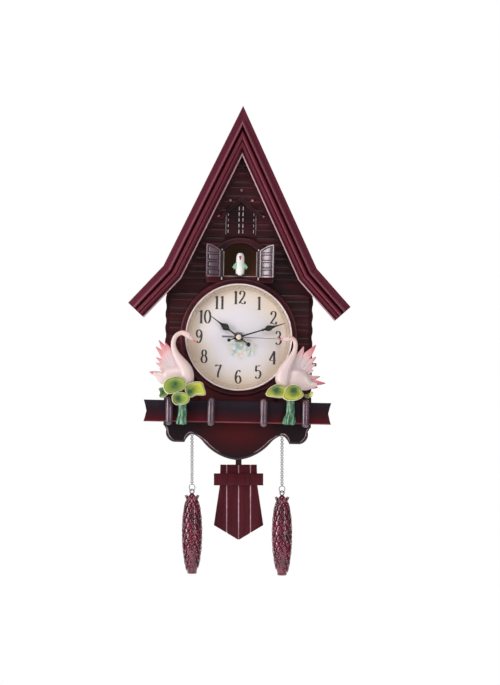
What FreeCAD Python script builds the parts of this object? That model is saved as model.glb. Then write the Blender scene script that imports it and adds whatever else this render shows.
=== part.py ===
"""Pendulum wall clock: a gabled log house with a dial, a bird door, swans and pine cones.

Millimetres. X runs right, Y towards the wall and Z up. The model is laid out from the dial's
centre on the wall plane, and save() moves it so that the hanger's hole is the origin.
"""
import FreeCAD, Part
import math
import os
from FreeCAD import Vector

# Overall sizes
ROOF_APEX_Z = 280.6
ROOF_KINK = (93.0, 84.9)
ROOF_HALF_W = 135.0
ROOF_EAVE_Z = 39.1
MOULDING_W = 25.8
MOULDING_T = 20.0
ROOF_BOARD_T = 6.0
CASE_HALF_W = 90.0
CASE_D = 62.0
HANGER_Z = 165.0

# Case
PANEL_T = 6.0
SIDE_T = 6.0
BACK_T = 6.0
FLOOR_T = 5.0
CORNER_R = 8.5
LOG_PITCH = 17.2
LOG_RISE = 3.0
LOG_END = 2.0

# Dial and hands
DIAL_R = 65.3
DIAL_GAP = 0.4
DIAL_SEAT_W = 6.5
DIAL_SEAT_RISE = 6.0
DIAL_PLATE_T = 1.0
GLASS_T = 1.5
GLASS_RIM_H = 10.5
GLASS_DOME_H = 3.6
GLASS_BEVEL = 2.4
HOUR_TIP_GAP = 22.3
MINUTE_TIP_GAP = 6.0
SECOND_TIP_GAP = 15.3
SECOND_TAIL_L = 20.5
HAND_T = 0.4
HOUR_ANGLE = 306.0
MINUTE_ANGLE = 72.3
SECOND_ANGLE = 91.5

# Movement
MOVEMENT_W = 56.0
MOVEMENT_D = 16.0
MOVEMENT_WALL = 1.5
BUSH_R = 4.5
ARBOR_GAP = 0.05
SECOND_ARBOR_R = 0.8
MINUTE_ARBOR_R = 1.9
HOUR_TUBE_R = 3.0
CELL_R = 7.2
CELL_L = 50.0
KNOB_R = 6.0
PIVOT_PIN_R = 1.2
PIVOT_Z = -21.0

# Rail, posts and apron
RAIL_TOP_Z = -78.0
RAIL_H = 26.3
RAIL_HALF_L = 113.8
RAIL_NOTCH = 3.4
RAIL_T = 10.0
APRON_T = 8.0
POST_R = 4.5
POST_XS = (32.0, 82.7)
POST_TOP_Z = -74.3
POST_BOTTOM_Z = -108.5

# Door, shutters and bird
DOOR_HALF_W = 19.6
DOOR_SPRING_H = 29.8
DOOR_ARCH_H = 9.0
SILL_GAP = 1.0
FRAME_W = 1.2
SHUTTER_T = 2.4
HINGE_GAP = 2.7
SHUTTER_PIN_R = 0.8
KNUCKLE_R = 1.7
PIN_GAP = 0.05
SHUTTER_OPEN = 150.0
BIRD_H = 28.0
BIRD_R = 4.2

# Pendulum
PENDULUM_Y = -28.0
ROD_W = 7.3
ROD_T = 2.4
BOB_TOP_Z = -156.6
BOB_BOTTOM_Z = -249.2
BOB_T = 5.0
BOB_SHOULDER_W = 44.8
BOB_WAIST_W = 46.2
BOB_WIDEST_W = 60.8
BOB_WIDEST_Z = -230.9
BOB_GROOVE_X = 14.6
BOB_GROOVE_W = 1.2
BOB_GROOVE_D = 0.6
ROD_TENON = 8.0
PLUMB_LEAN = 1.1

# Chains and pine cones
CHAIN_X = 55.0
CHAIN_Y = -50.0
LINK_R = 1.525
LINK_WIRE_R = 0.4
LINK_COUNT = 30
LINK_GAP = 0.05
RING_R = 4.05
RING_WIRE_R = 0.45
EYE_R = 2.2
EYE_WIRE_R = 0.6
CONE_L = 104.0
CONE_R = 13.0

# Worked-out places
PANEL_FRONT = -CASE_D
PANEL_BACK = PANEL_FRONT + PANEL_T
LOG_FRONT = PANEL_FRONT - LOG_RISE
SEAT_R = DIAL_R + DIAL_GAP + DIAL_SEAT_W
RAIL_BOTTOM_Z = RAIL_TOP_Z - RAIL_H
FLOOR_TOP_Z = RAIL_BOTTOM_Z
CASE_BOTTOM_Z = FLOOR_TOP_Z - FLOOR_T
SIDING_BOTTOM_Z = RAIL_TOP_Z - 7.0
SILL_Z = SEAT_R + SILL_GAP + FRAME_W
MOVEMENT_BACK = PANEL_BACK + MOVEMENT_D
HOUR_HAND_L = DIAL_R - HOUR_TIP_GAP
MINUTE_HAND_L = DIAL_R - MINUTE_TIP_GAP
SECOND_HAND_L = DIAL_R - SECOND_TIP_GAP

AXIS_X, AXIS_Y, AXIS_Z = Vector(1, 0, 0), Vector(0, 1, 0), Vector(0, 0, 1)


def box(x0, x1, y0, y1, z0, z1):
    return Part.makeBox(x1 - x0, y1 - y0, z1 - z0, Vector(x0, y0, z0))


def disc(r, y0, y1, x=0.0, z=0.0):
    """A cylinder along Y."""
    return Part.makeCylinder(r, y1 - y0, Vector(x, y0, z), Vector(0, 1, 0))


def post(r, z0, z1, x, y):
    """A cylinder along Z."""
    return Part.makeCylinder(r, z1 - z0, Vector(x, y, z0))


def fused(shapes):
    return shapes[0].multiFuse(shapes[1:]).removeSplitter()


def mirrored(shape):
    return shape.mirror(Vector(0, 0, 0), Vector(1, 0, 0))


def turned(shape, centre, axis, degrees):
    copy = shape.copy()
    copy.rotate(centre, axis, degrees)
    return copy


def wire(start, steps, place):
    """Edges from start: a step is a point, or a (via, end) pair for an arc."""
    edges = []
    here = start
    for step in steps:
        if isinstance(step[0], tuple):
            via, end = step
            edges.append(Part.Arc(place(*here), place(*via), place(*end)).toShape())
        else:
            end = step
            edges.append(Part.LineSegment(place(*here), place(*end)).toShape())
        here = end
    if (place(*here) - place(*start)).Length > 1e-6:
        edges.append(Part.LineSegment(place(*here), place(*start)).toShape())
    return Part.Wire(edges)


def slab(start, steps, y0, y1):
    """An outline in X and Z, solid from depth y0 to y1."""
    face = Part.Face(wire(start, steps, lambda x, z: Vector(x, y0, z)))
    return face.extrude(Vector(0, y1 - y0, 0))


def polygon(points, y0, y1):
    return slab(points[0], points[1:], y0, y1)


def turning(start, steps, centre):
    """An outline in radius and height, spun about a line along Z through centre."""
    flat = wire(start, steps, lambda r, h: centre + Vector(r, 0, h))
    return Part.Face(flat).revolve(centre, Vector(0, 0, 1), 360)


def oval(x, z, half_w, half_h, y0, y1, bevel):
    """An oval plate facing along Y, at least as wide as high, with bevelled edges."""
    centre = Vector(x, y0, z)
    curve = Part.Ellipse(centre + Vector(half_w, 0, 0), centre + Vector(0, 0, half_h), centre)
    plate = Part.Face(Part.Wire([curve.toShape()])).extrude(Vector(0, y1 - y0, 0))
    rims = [edge for edge in plate.Edges if edge.Length > 2 * half_w]
    return plate.makeChamfer(bevel, rims)


def save(name, shape):
    placed = shape.copy()
    placed.translate(Vector(0, 0, -HANGER_Z))
    placed.exportStep("parts/" + name + ".step")


# Roof
def roof_line(d):
    """Apex, kink and eave end of the right slope, a distance d inside its outer line."""
    kx, kz = ROOF_KINK
    steep = math.atan2(kx, ROOF_APEX_Z - kz)
    flat = math.atan2(ROOF_HALF_W - kx, kz - ROOF_EAVE_Z)
    n1 = (-math.cos(steep), -math.sin(steep))
    n2 = (-math.cos(flat), -math.sin(flat))
    share = d / (1 + n1[0] * n2[0] + n1[1] * n2[1])
    apex = (0.0, ROOF_APEX_Z - d / math.sin(steep))
    kink = (kx + share * (n1[0] + n2[0]), kz + share * (n1[1] + n2[1]))
    eave = (ROOF_HALF_W + d * n2[0], ROOF_EAVE_Z + d * n2[1])
    return apex, kink, eave


def under_roof(y0, y1):
    """Everything below the roof boards, down to the case's bottom."""
    apex, kink, eave = roof_line(ROOF_BOARD_T)
    right = [apex, kink, eave, (eave[0], CASE_BOTTOM_Z)]
    left = [(-x, z) for x, z in reversed(right[1:])]
    return polygon(right + left, y0, y1)


def roof_board():
    outer = roof_line(0.0)
    inner = roof_line(ROOF_BOARD_T)
    return polygon(list(outer) + list(reversed(inner)), LOG_FRONT, 0.0)


# Share of the width where each step of the moulding starts, and its share of the thickness
MOULDING_STEPS = ((0.0, 0.78), (0.32, 1.0), (0.40, 0.55), (0.50, 0.92), (0.68, 0.84), (0.88, 0.66))


def moulding(upper):
    starts = [share for share, rise in MOULDING_STEPS] + [1.0]
    bands = []
    for (share, rise), end in zip(MOULDING_STEPS, starts[1:]):
        outer = roof_line(share * MOULDING_W)
        inner = roof_line(end * MOULDING_W)
        first = 0 if upper else 1
        quad = [outer[first], outer[first + 1], inner[first + 1], inner[first]]
        bands.append(polygon(quad, LOG_FRONT - rise * MOULDING_T, LOG_FRONT))
    return fused(bands)


# Case
def log_outline(y0, y1):
    """The case's front outline, whose sides bulge with the log ends."""
    count = int((ROOF_APEX_Z - SIDING_BOTTOM_Z) / LOG_PITCH) + 1
    root = CASE_HALF_W - LOG_END
    steps = [(CASE_HALF_W, CASE_BOTTOM_Z), (CASE_HALF_W, SIDING_BOTTOM_Z), (root, SIDING_BOTTOM_Z)]
    for i in range(count):
        z = SIDING_BOTTOM_Z + i * LOG_PITCH
        steps.append(((CASE_HALF_W, z + LOG_PITCH / 2), (root, z + LOG_PITCH)))
    top = SIDING_BOTTOM_Z + count * LOG_PITCH
    half = slab((0.0, CASE_BOTTOM_Z), steps + [(0.0, top)], y0, y1)
    return fused([half, mirrored(half)])


def log_face():
    """The front board with its log courses, uncut, over the whole width."""
    count = int((ROOF_APEX_Z - SIDING_BOTTOM_Z) / LOG_PITCH) + 1
    steps = [(PANEL_FRONT, CASE_BOTTOM_Z), (PANEL_FRONT, SIDING_BOTTOM_Z)]
    for i in range(count):
        z = SIDING_BOTTOM_Z + i * LOG_PITCH
        steps.append(((LOG_FRONT, z + LOG_PITCH / 2), (PANEL_FRONT, z + LOG_PITCH)))
    steps.append((PANEL_BACK, SIDING_BOTTOM_Z + count * LOG_PITCH))
    flat = wire((PANEL_BACK, CASE_BOTTOM_Z), steps, lambda y, z: Vector(-CASE_HALF_W, y, z))
    return Part.Face(flat).extrude(Vector(2 * CASE_HALF_W, 0, 0))


def rounded_plan():
    """The case's plan with rounded front corners, from the board's back forwards."""
    w, r, front = CASE_HALF_W, CORNER_R, LOG_FRONT
    bend = r * (1 - math.sqrt(0.5))
    steps = [
        (w, front + r),
        ((w - bend, front + bend), (w - r, front)),
        (-w + r, front),
        ((-w + bend, front + bend), (-w, front + r)),
        (-w, PANEL_BACK),
    ]
    flat = wire((w, PANEL_BACK), steps, lambda x, y: Vector(x, y, CASE_BOTTOM_Z))
    return Part.Face(flat).extrude(Vector(0, 0, ROOF_APEX_Z - CASE_BOTTOM_Z))


def arch(grow, y0, y1):
    """The doorway's outline, larger by grow all round."""
    w = DOOR_HALF_W + grow
    spring = SILL_Z + DOOR_SPRING_H
    top = spring + DOOR_ARCH_H + grow
    steps = [(w, SILL_Z - grow), (w, spring), ((0.0, top), (-w, spring))]
    return slab((-w, SILL_Z - grow), steps, y0, y1)


HEADER_HALF_W = 42.0
HEADER_FOOT_H = 4.0


def header(y0, y1):
    """The curved head over the doorway, reaching over both shutters."""
    spring = SILL_Z + DOOR_SPRING_H
    foot = spring - HEADER_FOOT_H
    top = spring + DOOR_ARCH_H + 7.0
    w = HEADER_HALF_W
    crown = slab((-w, foot), [(w, foot), ((0.0, top), (-w, foot))], y0, y1)
    return crown.cut(arch(FRAME_W, y0 - 1, y1 + 1)).cut(box(-99, 99, y0 - 1, y1 + 1, foot - 50, foot))


WINDOW_HALF_W = 18.3
WINDOW_SILL_GAP = 3.9
WINDOW_SIDE_H = 27.2
WINDOW_PEAK_H = 38.5
WINDOW_RISE = 4.0
WINDOW_SILL_Z = SILL_Z + DOOR_SPRING_H + DOOR_ARCH_H + 7.0 + WINDOW_SILL_GAP


def window_outline(grow, y0, y1):
    w = WINDOW_HALF_W + grow
    side = WINDOW_SILL_Z + WINDOW_SIDE_H
    peak = WINDOW_SILL_Z + WINDOW_PEAK_H + grow
    foot = WINDOW_SILL_Z - grow
    return polygon([(-w, foot), (w, foot), (w, side), (0.0, peak), (-w, side)], y0, y1)


def gable_window():
    """A frame with two leaves, each with sunk panes in rows."""
    window = window_outline(0.0, PANEL_FRONT - WINDOW_RISE, PANEL_FRONT)
    rows = 4
    edge = 2.2
    bar = 1.6
    row_h = (WINDOW_SIDE_H - edge - rows * bar) / rows
    for sign in (-1, 1):
        x0 = sign * bar
        x1 = sign * (WINDOW_HALF_W - edge)
        for row in range(rows):
            z0 = WINDOW_SILL_Z + edge + row * (row_h + bar)
            pane = box(min(x0, x1), max(x0, x1), PANEL_FRONT - WINDOW_RISE - 1,
                       PANEL_FRONT - WINDOW_RISE / 2, z0, z0 + row_h)
            window = window.cut(pane)
    return window


PEDIMENT_W = 5.0
PEDIMENT_REACH = 27.3
BEAD_R = 1.7


def gable_pediment():
    """Two sloping strips over the window, with a bead at each end, middle and above."""
    side = WINDOW_SILL_Z + WINDOW_SIDE_H
    slope = (WINDOW_PEAK_H - WINDOW_SIDE_H) / WINDOW_HALF_W
    peak = WINDOW_SILL_Z + WINDOW_PEAK_H
    foot = peak - slope * PEDIMENT_REACH
    y0, y1 = PANEL_FRONT - WINDOW_RISE - 1.5, PANEL_FRONT
    roof = polygon([(-PEDIMENT_REACH, foot), (0.0, peak), (PEDIMENT_REACH, foot),
                    (PEDIMENT_REACH, foot + PEDIMENT_W), (0.0, peak + PEDIMENT_W + 2.5),
                    (-PEDIMENT_REACH, foot + PEDIMENT_W)], y0, y1)
    beads = [roof]
    middle = (PEDIMENT_REACH / 2, (foot + peak) / 2 + PEDIMENT_W / 2)
    for x, z in ((PEDIMENT_REACH - BEAD_R, foot + PEDIMENT_W / 2), middle, (0.0, peak + PEDIMENT_W / 2)):
        for sign in (-1, 1):
            beads.append(Part.makeSphere(BEAD_R, Vector(sign * x, y0, z)))
    return fused(beads)


def dial_seat(y0, y1):
    """The round seat's outline joined to the smooth zone that runs down to the rail."""
    ring = disc(SEAT_R, y0, y1)
    return fused([ring, box(-SEAT_R * 0.62, SEAT_R * 0.62, y0, y1, SIDING_BOTTOM_Z, -SEAT_R * 0.75)])


def front_panel():
    board = log_face().common(under_roof(LOG_FRONT - 1, PANEL_BACK))
    board = board.common(log_outline(LOG_FRONT - 1, PANEL_BACK)).common(rounded_plan())
    ahead = LOG_FRONT - 1
    for cutter in (dial_seat(ahead, PANEL_FRONT), door_surround(), arch(0.0, ahead, PANEL_BACK + 1),
                   window_outline(0.0, ahead, PANEL_FRONT), gable_pediment()):
        board = board.cut(cutter)
    rise = dial_seat(PANEL_FRONT - DIAL_SEAT_RISE, PANEL_FRONT)
    rise = rise.cut(disc(DIAL_R + DIAL_GAP, PANEL_FRONT - DIAL_SEAT_RISE - 1, PANEL_FRONT))
    rise = rise.cut(arch(FRAME_W, ahead - 10, PANEL_FRONT))
    board = fused([board, rise])
    return board.cut(disc(BUSH_R, ahead, PANEL_BACK + 1))


SWITCH_Z = -32.0
SWITCH_SLOT = (4.4, 10.0)
SWITCH_TRAVEL = 3.0
SWITCH_Y = -40.0


def case_side():
    y0, y1 = PANEL_BACK, -BACK_T
    shell = box(CASE_HALF_W - SIDE_T, CASE_HALF_W, y0, y1, CASE_BOTTOM_Z, ROOF_APEX_Z)
    return shell.common(under_roof(y0, y1)).common(log_outline(y0, y1))


def case_side_right():
    """The right side, with a slot for the mode switch's lever."""
    w, h = SWITCH_SLOT
    x0 = CASE_HALF_W - SIDE_T - 1
    slot = box(x0, CASE_HALF_W + 1, SWITCH_Y - w / 2, SWITCH_Y + w / 2,
               SWITCH_Z - h / 2, SWITCH_Z + h / 2)
    return case_side().cut(slot)


FLOOR_SLOT_W = 38.0
FLOOR_SLOT_D = 12.0
HOOK_SHANK_R = 0.9
HOOK_SHANK_L = 1.5
HOOK_EYE_Z = CASE_BOTTOM_Z - HOOK_SHANK_L - EYE_R - EYE_WIRE_R
HOOK_PIVOT_Z = HOOK_EYE_Z - EYE_R


def case_floor():
    inner = CASE_HALF_W - SIDE_T
    floor = box(-inner, inner, PANEL_BACK, -BACK_T, CASE_BOTTOM_Z, FLOOR_TOP_Z)
    floor = floor.cut(box(-FLOOR_SLOT_W / 2, FLOOR_SLOT_W / 2, PENDULUM_Y - FLOOR_SLOT_D / 2,
                          PENDULUM_Y + FLOOR_SLOT_D / 2, CASE_BOTTOM_Z - 1, FLOOR_TOP_Z + 1))
    for sign in (-1, 1):
        floor = floor.cut(post(HOOK_SHANK_R, CASE_BOTTOM_Z - 1, FLOOR_TOP_Z + 1, sign * CHAIN_X, CHAIN_Y))
    return floor


ACCESS_HALF = 36.0
PLATE_HALF_W = 17.0
PLATE_HALF_H = 22.0
PLATE_T = 2.0
KEYHOLE_R = 5.0
KEYHOLE_SLOT_W = 4.4
KEYHOLE_SLOT_L = 14.0
KEYHOLE_POCKET_D = 4.0
SCREW_R = 1.5
SCREW_HEAD_R = 3.0
SCREW_HEAD_T = 1.2
PLATE_SCREW_X = 12.5
BACK_SCREWS = ((-80.0, -96.0), (80.0, -96.0), (-80.0, 60.0), (80.0, 60.0))
HOLDER_X = -58.0
HOLDER_Z = -61.0
HOLDER_W = 33.0
HOLDER_L = 60.0
HOLDER_D = 22.0
HOLDER_WALL = 1.2
COVER_GAP = 0.2
SPEAKER_X = 60.0
SPEAKER_Z = -52.0
SPEAKER_R = 20.0
SPEAKER_D = 12.0


def screw_hole(x, z):
    return fused([disc(SCREW_R, -BACK_T - 1, 0.0, x, z), disc(SCREW_HEAD_R, -SCREW_HEAD_T, 1.0, x, z)])


def screw_places():
    """Each screw's X and Z: two in the hanger plate, four in the back panel's corners."""
    plate = [(sign * PLATE_SCREW_X, HANGER_Z - 6.0) for sign in (-1, 1)]
    return plate + list(BACK_SCREWS)


def back_panel():
    panel = under_roof(-BACK_T, 0.0).common(box(-CASE_HALF_W + LOG_END, CASE_HALF_W - LOG_END,
                                                -BACK_T, 0.0, CASE_BOTTOM_Z, ROOF_APEX_Z))
    panel = panel.cut(box(-ACCESS_HALF, ACCESS_HALF, -BACK_T - 1, 1, -ACCESS_HALF, ACCESS_HALF))
    panel = panel.cut(box(HOLDER_X - HOLDER_W / 2, HOLDER_X + HOLDER_W / 2, -BACK_T - 1, 1,
                          HOLDER_Z - HOLDER_L / 2, HOLDER_Z + HOLDER_L / 2))
    pocket_front = -PLATE_T - KEYHOLE_POCKET_D + 1.0
    panel = panel.cut(box(-PLATE_HALF_W, PLATE_HALF_W, -PLATE_T, 1, HANGER_Z - PLATE_HALF_H,
                          HANGER_Z + PLATE_HALF_H))
    panel = panel.cut(box(-KEYHOLE_R, KEYHOLE_R, pocket_front, 1, HANGER_Z - KEYHOLE_R,
                          HANGER_Z + KEYHOLE_SLOT_L + 1))
    for ring in range(1, 3):
        for step in range(6 * ring):
            angle = 2 * math.pi * step / (6 * ring)
            x = SPEAKER_X + 6.5 * ring * math.cos(angle)
            z = SPEAKER_Z + 6.5 * ring * math.sin(angle)
            panel = panel.cut(disc(1.6, -BACK_T - 1, 1, x, z))
    for x, z in screw_places():
        panel = panel.cut(screw_hole(x, z))
    return panel


def hanger_plate():
    """A steel plate whose round hole takes a nail's head; the slot above it holds the nail."""
    plate = box(-PLATE_HALF_W, PLATE_HALF_W, -PLATE_T, 0.0,
                HANGER_Z - PLATE_HALF_H, HANGER_Z + PLATE_HALF_H)
    plate = plate.cut(disc(KEYHOLE_R, -PLATE_T - 1, 1, 0.0, HANGER_Z))
    plate = plate.cut(box(-KEYHOLE_SLOT_W / 2, KEYHOLE_SLOT_W / 2, -PLATE_T - 1, 1, HANGER_Z,
                          HANGER_Z + KEYHOLE_SLOT_L))
    for sign in (-1, 1):
        plate = plate.cut(screw_hole(sign * PLATE_SCREW_X, HANGER_Z - 6.0))
    return plate


def screws():
    pieces = []
    for x, z in screw_places():
        shank = disc(SCREW_R, -BACK_T, -SCREW_HEAD_T, x, z)
        head = disc(SCREW_HEAD_R, -SCREW_HEAD_T, 0.0, x, z)
        pieces.append(fused([shank, head]))
    return Part.makeCompound(pieces)


# Door, shutters and bird
HINGE_X = DOOR_HALF_W + HINGE_GAP
HINGE_Y = PANEL_FRONT - 6.0
LEAF_FOOT_Z = SILL_Z - 1.6
LEAF_HEEL_TOP_Z = SILL_Z + DOOR_SPRING_H + 1.0
LEAF_TIP_TOP_Z = SILL_Z + DOOR_SPRING_H + DOOR_ARCH_H
LEAF_GAP = 0.6
LUG_T = 1.6
LUG_GAP = 0.3


def door_surround():
    """The thin frame round the doorway, the curved head over it and the hinge lugs."""
    frame = arch(FRAME_W, PANEL_FRONT - 3.0, PANEL_FRONT).cut(arch(0.0, PANEL_FRONT - 4.0, PANEL_FRONT + 1))
    pieces = [frame, header(PANEL_FRONT - 3.6, PANEL_FRONT)]
    lug_zs = (LEAF_FOOT_Z - LUG_GAP - LUG_T, LEAF_HEEL_TOP_Z + LUG_GAP)
    for sign in (-1, 1):
        x = sign * HINGE_X
        for z in lug_zs:
            lug = fused([post(KNUCKLE_R, z, z + LUG_T, x, HINGE_Y),
                         box(x - KNUCKLE_R, x + KNUCKLE_R, HINGE_Y, PANEL_FRONT - 2.0, z, z + LUG_T)])
            pieces.append(lug)
        web_z1 = lug_zs[1] + LUG_T
        web_x = sorted((sign * (DOOR_HALF_W + FRAME_W / 2), x + sign * KNUCKLE_R))
        pieces.append(box(web_x[0], web_x[1], PANEL_FRONT - 3.0, PANEL_FRONT, lug_zs[0], web_z1))
    frame = fused(pieces)
    for sign in (-1, 1):
        pin_hole = post(SHUTTER_PIN_R, lug_zs[0] - 1, lug_zs[1] + LUG_T + 1, sign * HINGE_X, HINGE_Y)
        frame = frame.cut(pin_hole)
    return frame


def shutter_pins():
    z0 = LEAF_FOOT_Z - LUG_GAP - LUG_T - 1.2
    z1 = LEAF_HEEL_TOP_Z + LUG_GAP + LUG_T
    return Part.makeCompound([post(SHUTTER_PIN_R, z0, z1, sign * HINGE_X, HINGE_Y) for sign in (-1, 1)])


def shutter_right():
    """A leaf with a curved top and raised panels, turned open about its pin."""
    heel = HINGE_X - KNUCKLE_R - 0.3
    tip = LEAF_GAP / 2
    middle = (tip + heel) / 2
    bulge = (LEAF_HEEL_TOP_Z + LEAF_TIP_TOP_Z) / 2 + 1.6
    steps = [(heel, LEAF_FOOT_Z), (heel, LEAF_HEEL_TOP_Z), ((middle, bulge), (tip, LEAF_TIP_TOP_Z))]
    y0, y1 = HINGE_Y - SHUTTER_T / 2, HINGE_Y + SHUTTER_T / 2
    leaf = slab((tip, LEAF_FOOT_Z), steps, y0, y1)
    field_h = 7.0
    for row in range(3):
        z0 = LEAF_FOOT_Z + 2.2 + row * (field_h + 1.6)
        groove = box(tip + 2.0, heel - 1.6, y1 - 0.7, y1 + 1, z0, z0 + field_h)
        field = box(tip + 3.0, heel - 2.6, y1 - 0.7, y1, z0 + 1.0, z0 + field_h - 1.0)
        leaf = leaf.cut(groove.cut(field))
    knuckle = post(KNUCKLE_R, LEAF_FOOT_Z, LEAF_HEEL_TOP_Z, HINGE_X, HINGE_Y)
    web = box(heel - 0.5, HINGE_X, y0 + 0.5, y1 - 0.5, LEAF_FOOT_Z, LEAF_HEEL_TOP_Z)
    leaf = fused([leaf, web, knuckle])
    pin_bore = post(SHUTTER_PIN_R + PIN_GAP, LEAF_FOOT_Z - 1, LEAF_HEEL_TOP_Z + 1, HINGE_X, HINGE_Y)
    leaf = leaf.cut(pin_bore)
    return turned(leaf, Vector(HINGE_X, HINGE_Y, 0), Vector(0, 0, 1), SHUTTER_OPEN)


CHAMBER_GAP = 1.9
CHAMBER_WALL = 1.5
CHAMBER_BACK = -9.0
CARRIAGE_T = 2.0
CARRIAGE_LIFT = 0.3
CARRIAGE_W = 12.0
BIRD_Y = -66.0
CARRIAGE_Z = SILL_Z + CARRIAGE_LIFT


def bird_chamber():
    w = DOOR_HALF_W + CHAMBER_GAP
    top = SILL_Z + DOOR_SPRING_H + DOOR_ARCH_H + CHAMBER_GAP
    outer = box(-w - CHAMBER_WALL, w + CHAMBER_WALL, PANEL_BACK, CHAMBER_BACK, SILL_Z - CHAMBER_WALL,
                top + CHAMBER_WALL)
    return outer.cut(box(-w, w, PANEL_BACK - 1, CHAMBER_BACK - CHAMBER_WALL, SILL_Z, top))


def bird_carriage():
    """A slide that carries the bird, with a drive tab at its back."""
    plate = box(-CARRIAGE_W / 2, CARRIAGE_W / 2, BIRD_Y - BIRD_R, BIRD_Y + 27.0, CARRIAGE_Z,
                CARRIAGE_Z + CARRIAGE_T)
    tab = box(-1.5, 1.5, BIRD_Y + 23.0, BIRD_Y + 27.0, CARRIAGE_Z, CARRIAGE_Z + 9.0)
    return fused([plate, tab])


def bird_body():
    """A rounded standing bird with a short beak."""
    foot = CARRIAGE_Z + CARRIAGE_T
    r, h = BIRD_R, BIRD_H
    steps = [
        (r * 0.95, 0.0),
        ((r * 1.08, h * 0.3), (r * 0.98, h * 0.62)),
        ((r * 0.86, h * 0.87), (0.0, h)),
    ]
    body = turning((0.0, 0.0), steps, Vector(0, BIRD_Y, foot))
    beak = Part.makeCone(1.3, 0.3, 3.4, Vector(0, BIRD_Y - r * 0.7, foot + h * 0.75), Vector(0, -1, -0.25))
    return fused([body, beak])


def bird_wings():
    """A folded wing on each side, cut to sit on the body."""
    foot = CARRIAGE_Z + CARRIAGE_T
    length = BIRD_H * 0.5
    wings = []
    for sign in (-1, 1):
        root = Vector(sign * BIRD_R * 1.2, BIRD_Y, foot + BIRD_H * 0.17)
        profile = [(2.0, length * 0.3), (2.6, length * 0.6), (1.8, length * 0.9), (0.0, length)]
        wing = turning((0.0, 0.0), profile, root)
        wing = turned(wing, root + Vector(0, 0, length), AXIS_Y, -sign * 14.0)
        wings.append(wing.cut(bird_body()))
    return Part.makeCompound(wings)


def bird_motor():
    """A small geared motor under the chamber's floor."""
    top = SILL_Z - CHAMBER_WALL
    gearbox = box(-12.0, 12.0, -34.0, -22.0, top - 12.0, top)
    can = Part.makeCylinder(5.0, 20.0, Vector(12.0, -28.0, top - 6.0), Vector(1, 0, 0))
    return fused([gearbox, can])


# Dial, hands and movement
GLASS_FOOT = PANEL_FRONT
HOUR_Y = PANEL_FRONT - 6.0
MINUTE_Y = HOUR_Y - 1.6
SECOND_Y = MINUTE_Y - 1.5
NUT_T = 2.5
NUT_R = 7.0


def dial_plate():
    plate = disc(DIAL_R - GLASS_T - 0.2, PANEL_FRONT - DIAL_PLATE_T, PANEL_FRONT)
    return plate.cut(disc(BUSH_R, PANEL_FRONT - DIAL_PLATE_T - 1, PANEL_FRONT + 1))


def sag(r, rise):
    """How far a dome of radius r and this rise has dropped at half its radius."""
    ball = (r * r + rise * rise) / (2 * rise)
    return ball - math.sqrt(ball * ball - r * r / 4)


def dial_glass():
    """A domed glass with a bevelled shoulder and a straight wall down to the panel."""
    r, t = DIAL_R, GLASS_T
    rim, shoulder = GLASS_RIM_H - GLASS_BEVEL, GLASS_RIM_H
    top = shoulder + GLASS_DOME_H
    bow = r - GLASS_BEVEL
    inner_bow = bow - t / 2
    outer = ((bow / 2, top - sag(bow, GLASS_DOME_H)), (0.0, top))
    inner = ((inner_bow / 2, top - t - sag(inner_bow, GLASS_DOME_H)), (inner_bow, shoulder - t))
    steps = [(r, 0.0), (r, rim), (bow, shoulder), outer, (0.0, top - t), inner, (r - t, rim - t / 2)]
    flat = wire((r - t, 0.0), steps, lambda x, h: Vector(x, GLASS_FOOT - h, 0))
    return Part.Face(flat).revolve(Vector(0, 0, 0), Vector(0, 1, 0), 360)


def aimed(shape, y, degrees):
    """Turn a hand built pointing up so that it points at a clock angle."""
    return turned(shape, Vector(0, y, 0), Vector(0, 1, 0), degrees)


def spade_hand(y, length, root_w, spade_z, spade_w, spade_h, tail, tail_r, bore):
    """A tapered hand pointing up, with a spade on its length and a round counterweight."""
    y0, y1 = y - HAND_T / 2, y + HAND_T / 2
    blade = polygon([(-root_w / 2, 0.0), (-0.35, length), (0.35, length), (root_w / 2, 0.0)], y0, y1)
    half = spade_w / 2
    steps = [
        ((half * 1.05, spade_z - spade_h * 0.22), (half * 0.62, spade_z + spade_h * 0.12)),
        (0.0, spade_z + spade_h * 0.5),
        (-half * 0.62, spade_z + spade_h * 0.12),
        ((-half * 1.05, spade_z - spade_h * 0.22), (0.0, spade_z - spade_h * 0.5)),
    ]
    spade = slab((0.0, spade_z - spade_h * 0.5), steps, y0, y1)
    stalk = box(-0.6, 0.6, y0, y1, -tail, 0.0)
    boss = disc(bore + 1.6, y0, y1)
    hand = fused([blade, spade, stalk, boss, disc(tail_r, y0, y1, 0.0, -tail)])
    return hand.cut(disc(bore, y0 - 1, y1 + 1))


def hour_hand():
    hand = spade_hand(HOUR_Y, HOUR_HAND_L, 2.4, 22.0, 8.5, 14.0, 14.7, 2.6, HOUR_TUBE_R)
    return aimed(hand, 0.0, HOUR_ANGLE)


def minute_hand():
    hand = spade_hand(MINUTE_Y, MINUTE_HAND_L, 2.2, 39.0, 7.0, 15.0, 12.4, 2.2, MINUTE_ARBOR_R)
    bead = disc(1.4, MINUTE_Y - HAND_T / 2, MINUTE_Y + HAND_T / 2, 0.0, 30.7)
    return aimed(fused([hand, bead]), 0.0, MINUTE_ANGLE)


def second_hand():
    """A needle with a tail bar, on a hub that closes the front of the arbors."""
    y0, y1 = SECOND_Y - 0.15, SECOND_Y + 0.15
    needle = polygon([(-0.5, 0.0), (-0.25, SECOND_HAND_L), (0.25, SECOND_HAND_L), (0.5, 0.0)], y0, y1)
    tail = polygon([(-0.5, 0.0), (-1.2, -SECOND_TAIL_L), (1.2, -SECOND_TAIL_L), (0.5, 0.0)], y0, y1)
    hub = disc(3.2, SECOND_Y - 0.9, SECOND_Y + 0.3)
    return aimed(fused([needle, tail, hub]), 0.0, SECOND_ANGLE)


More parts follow.
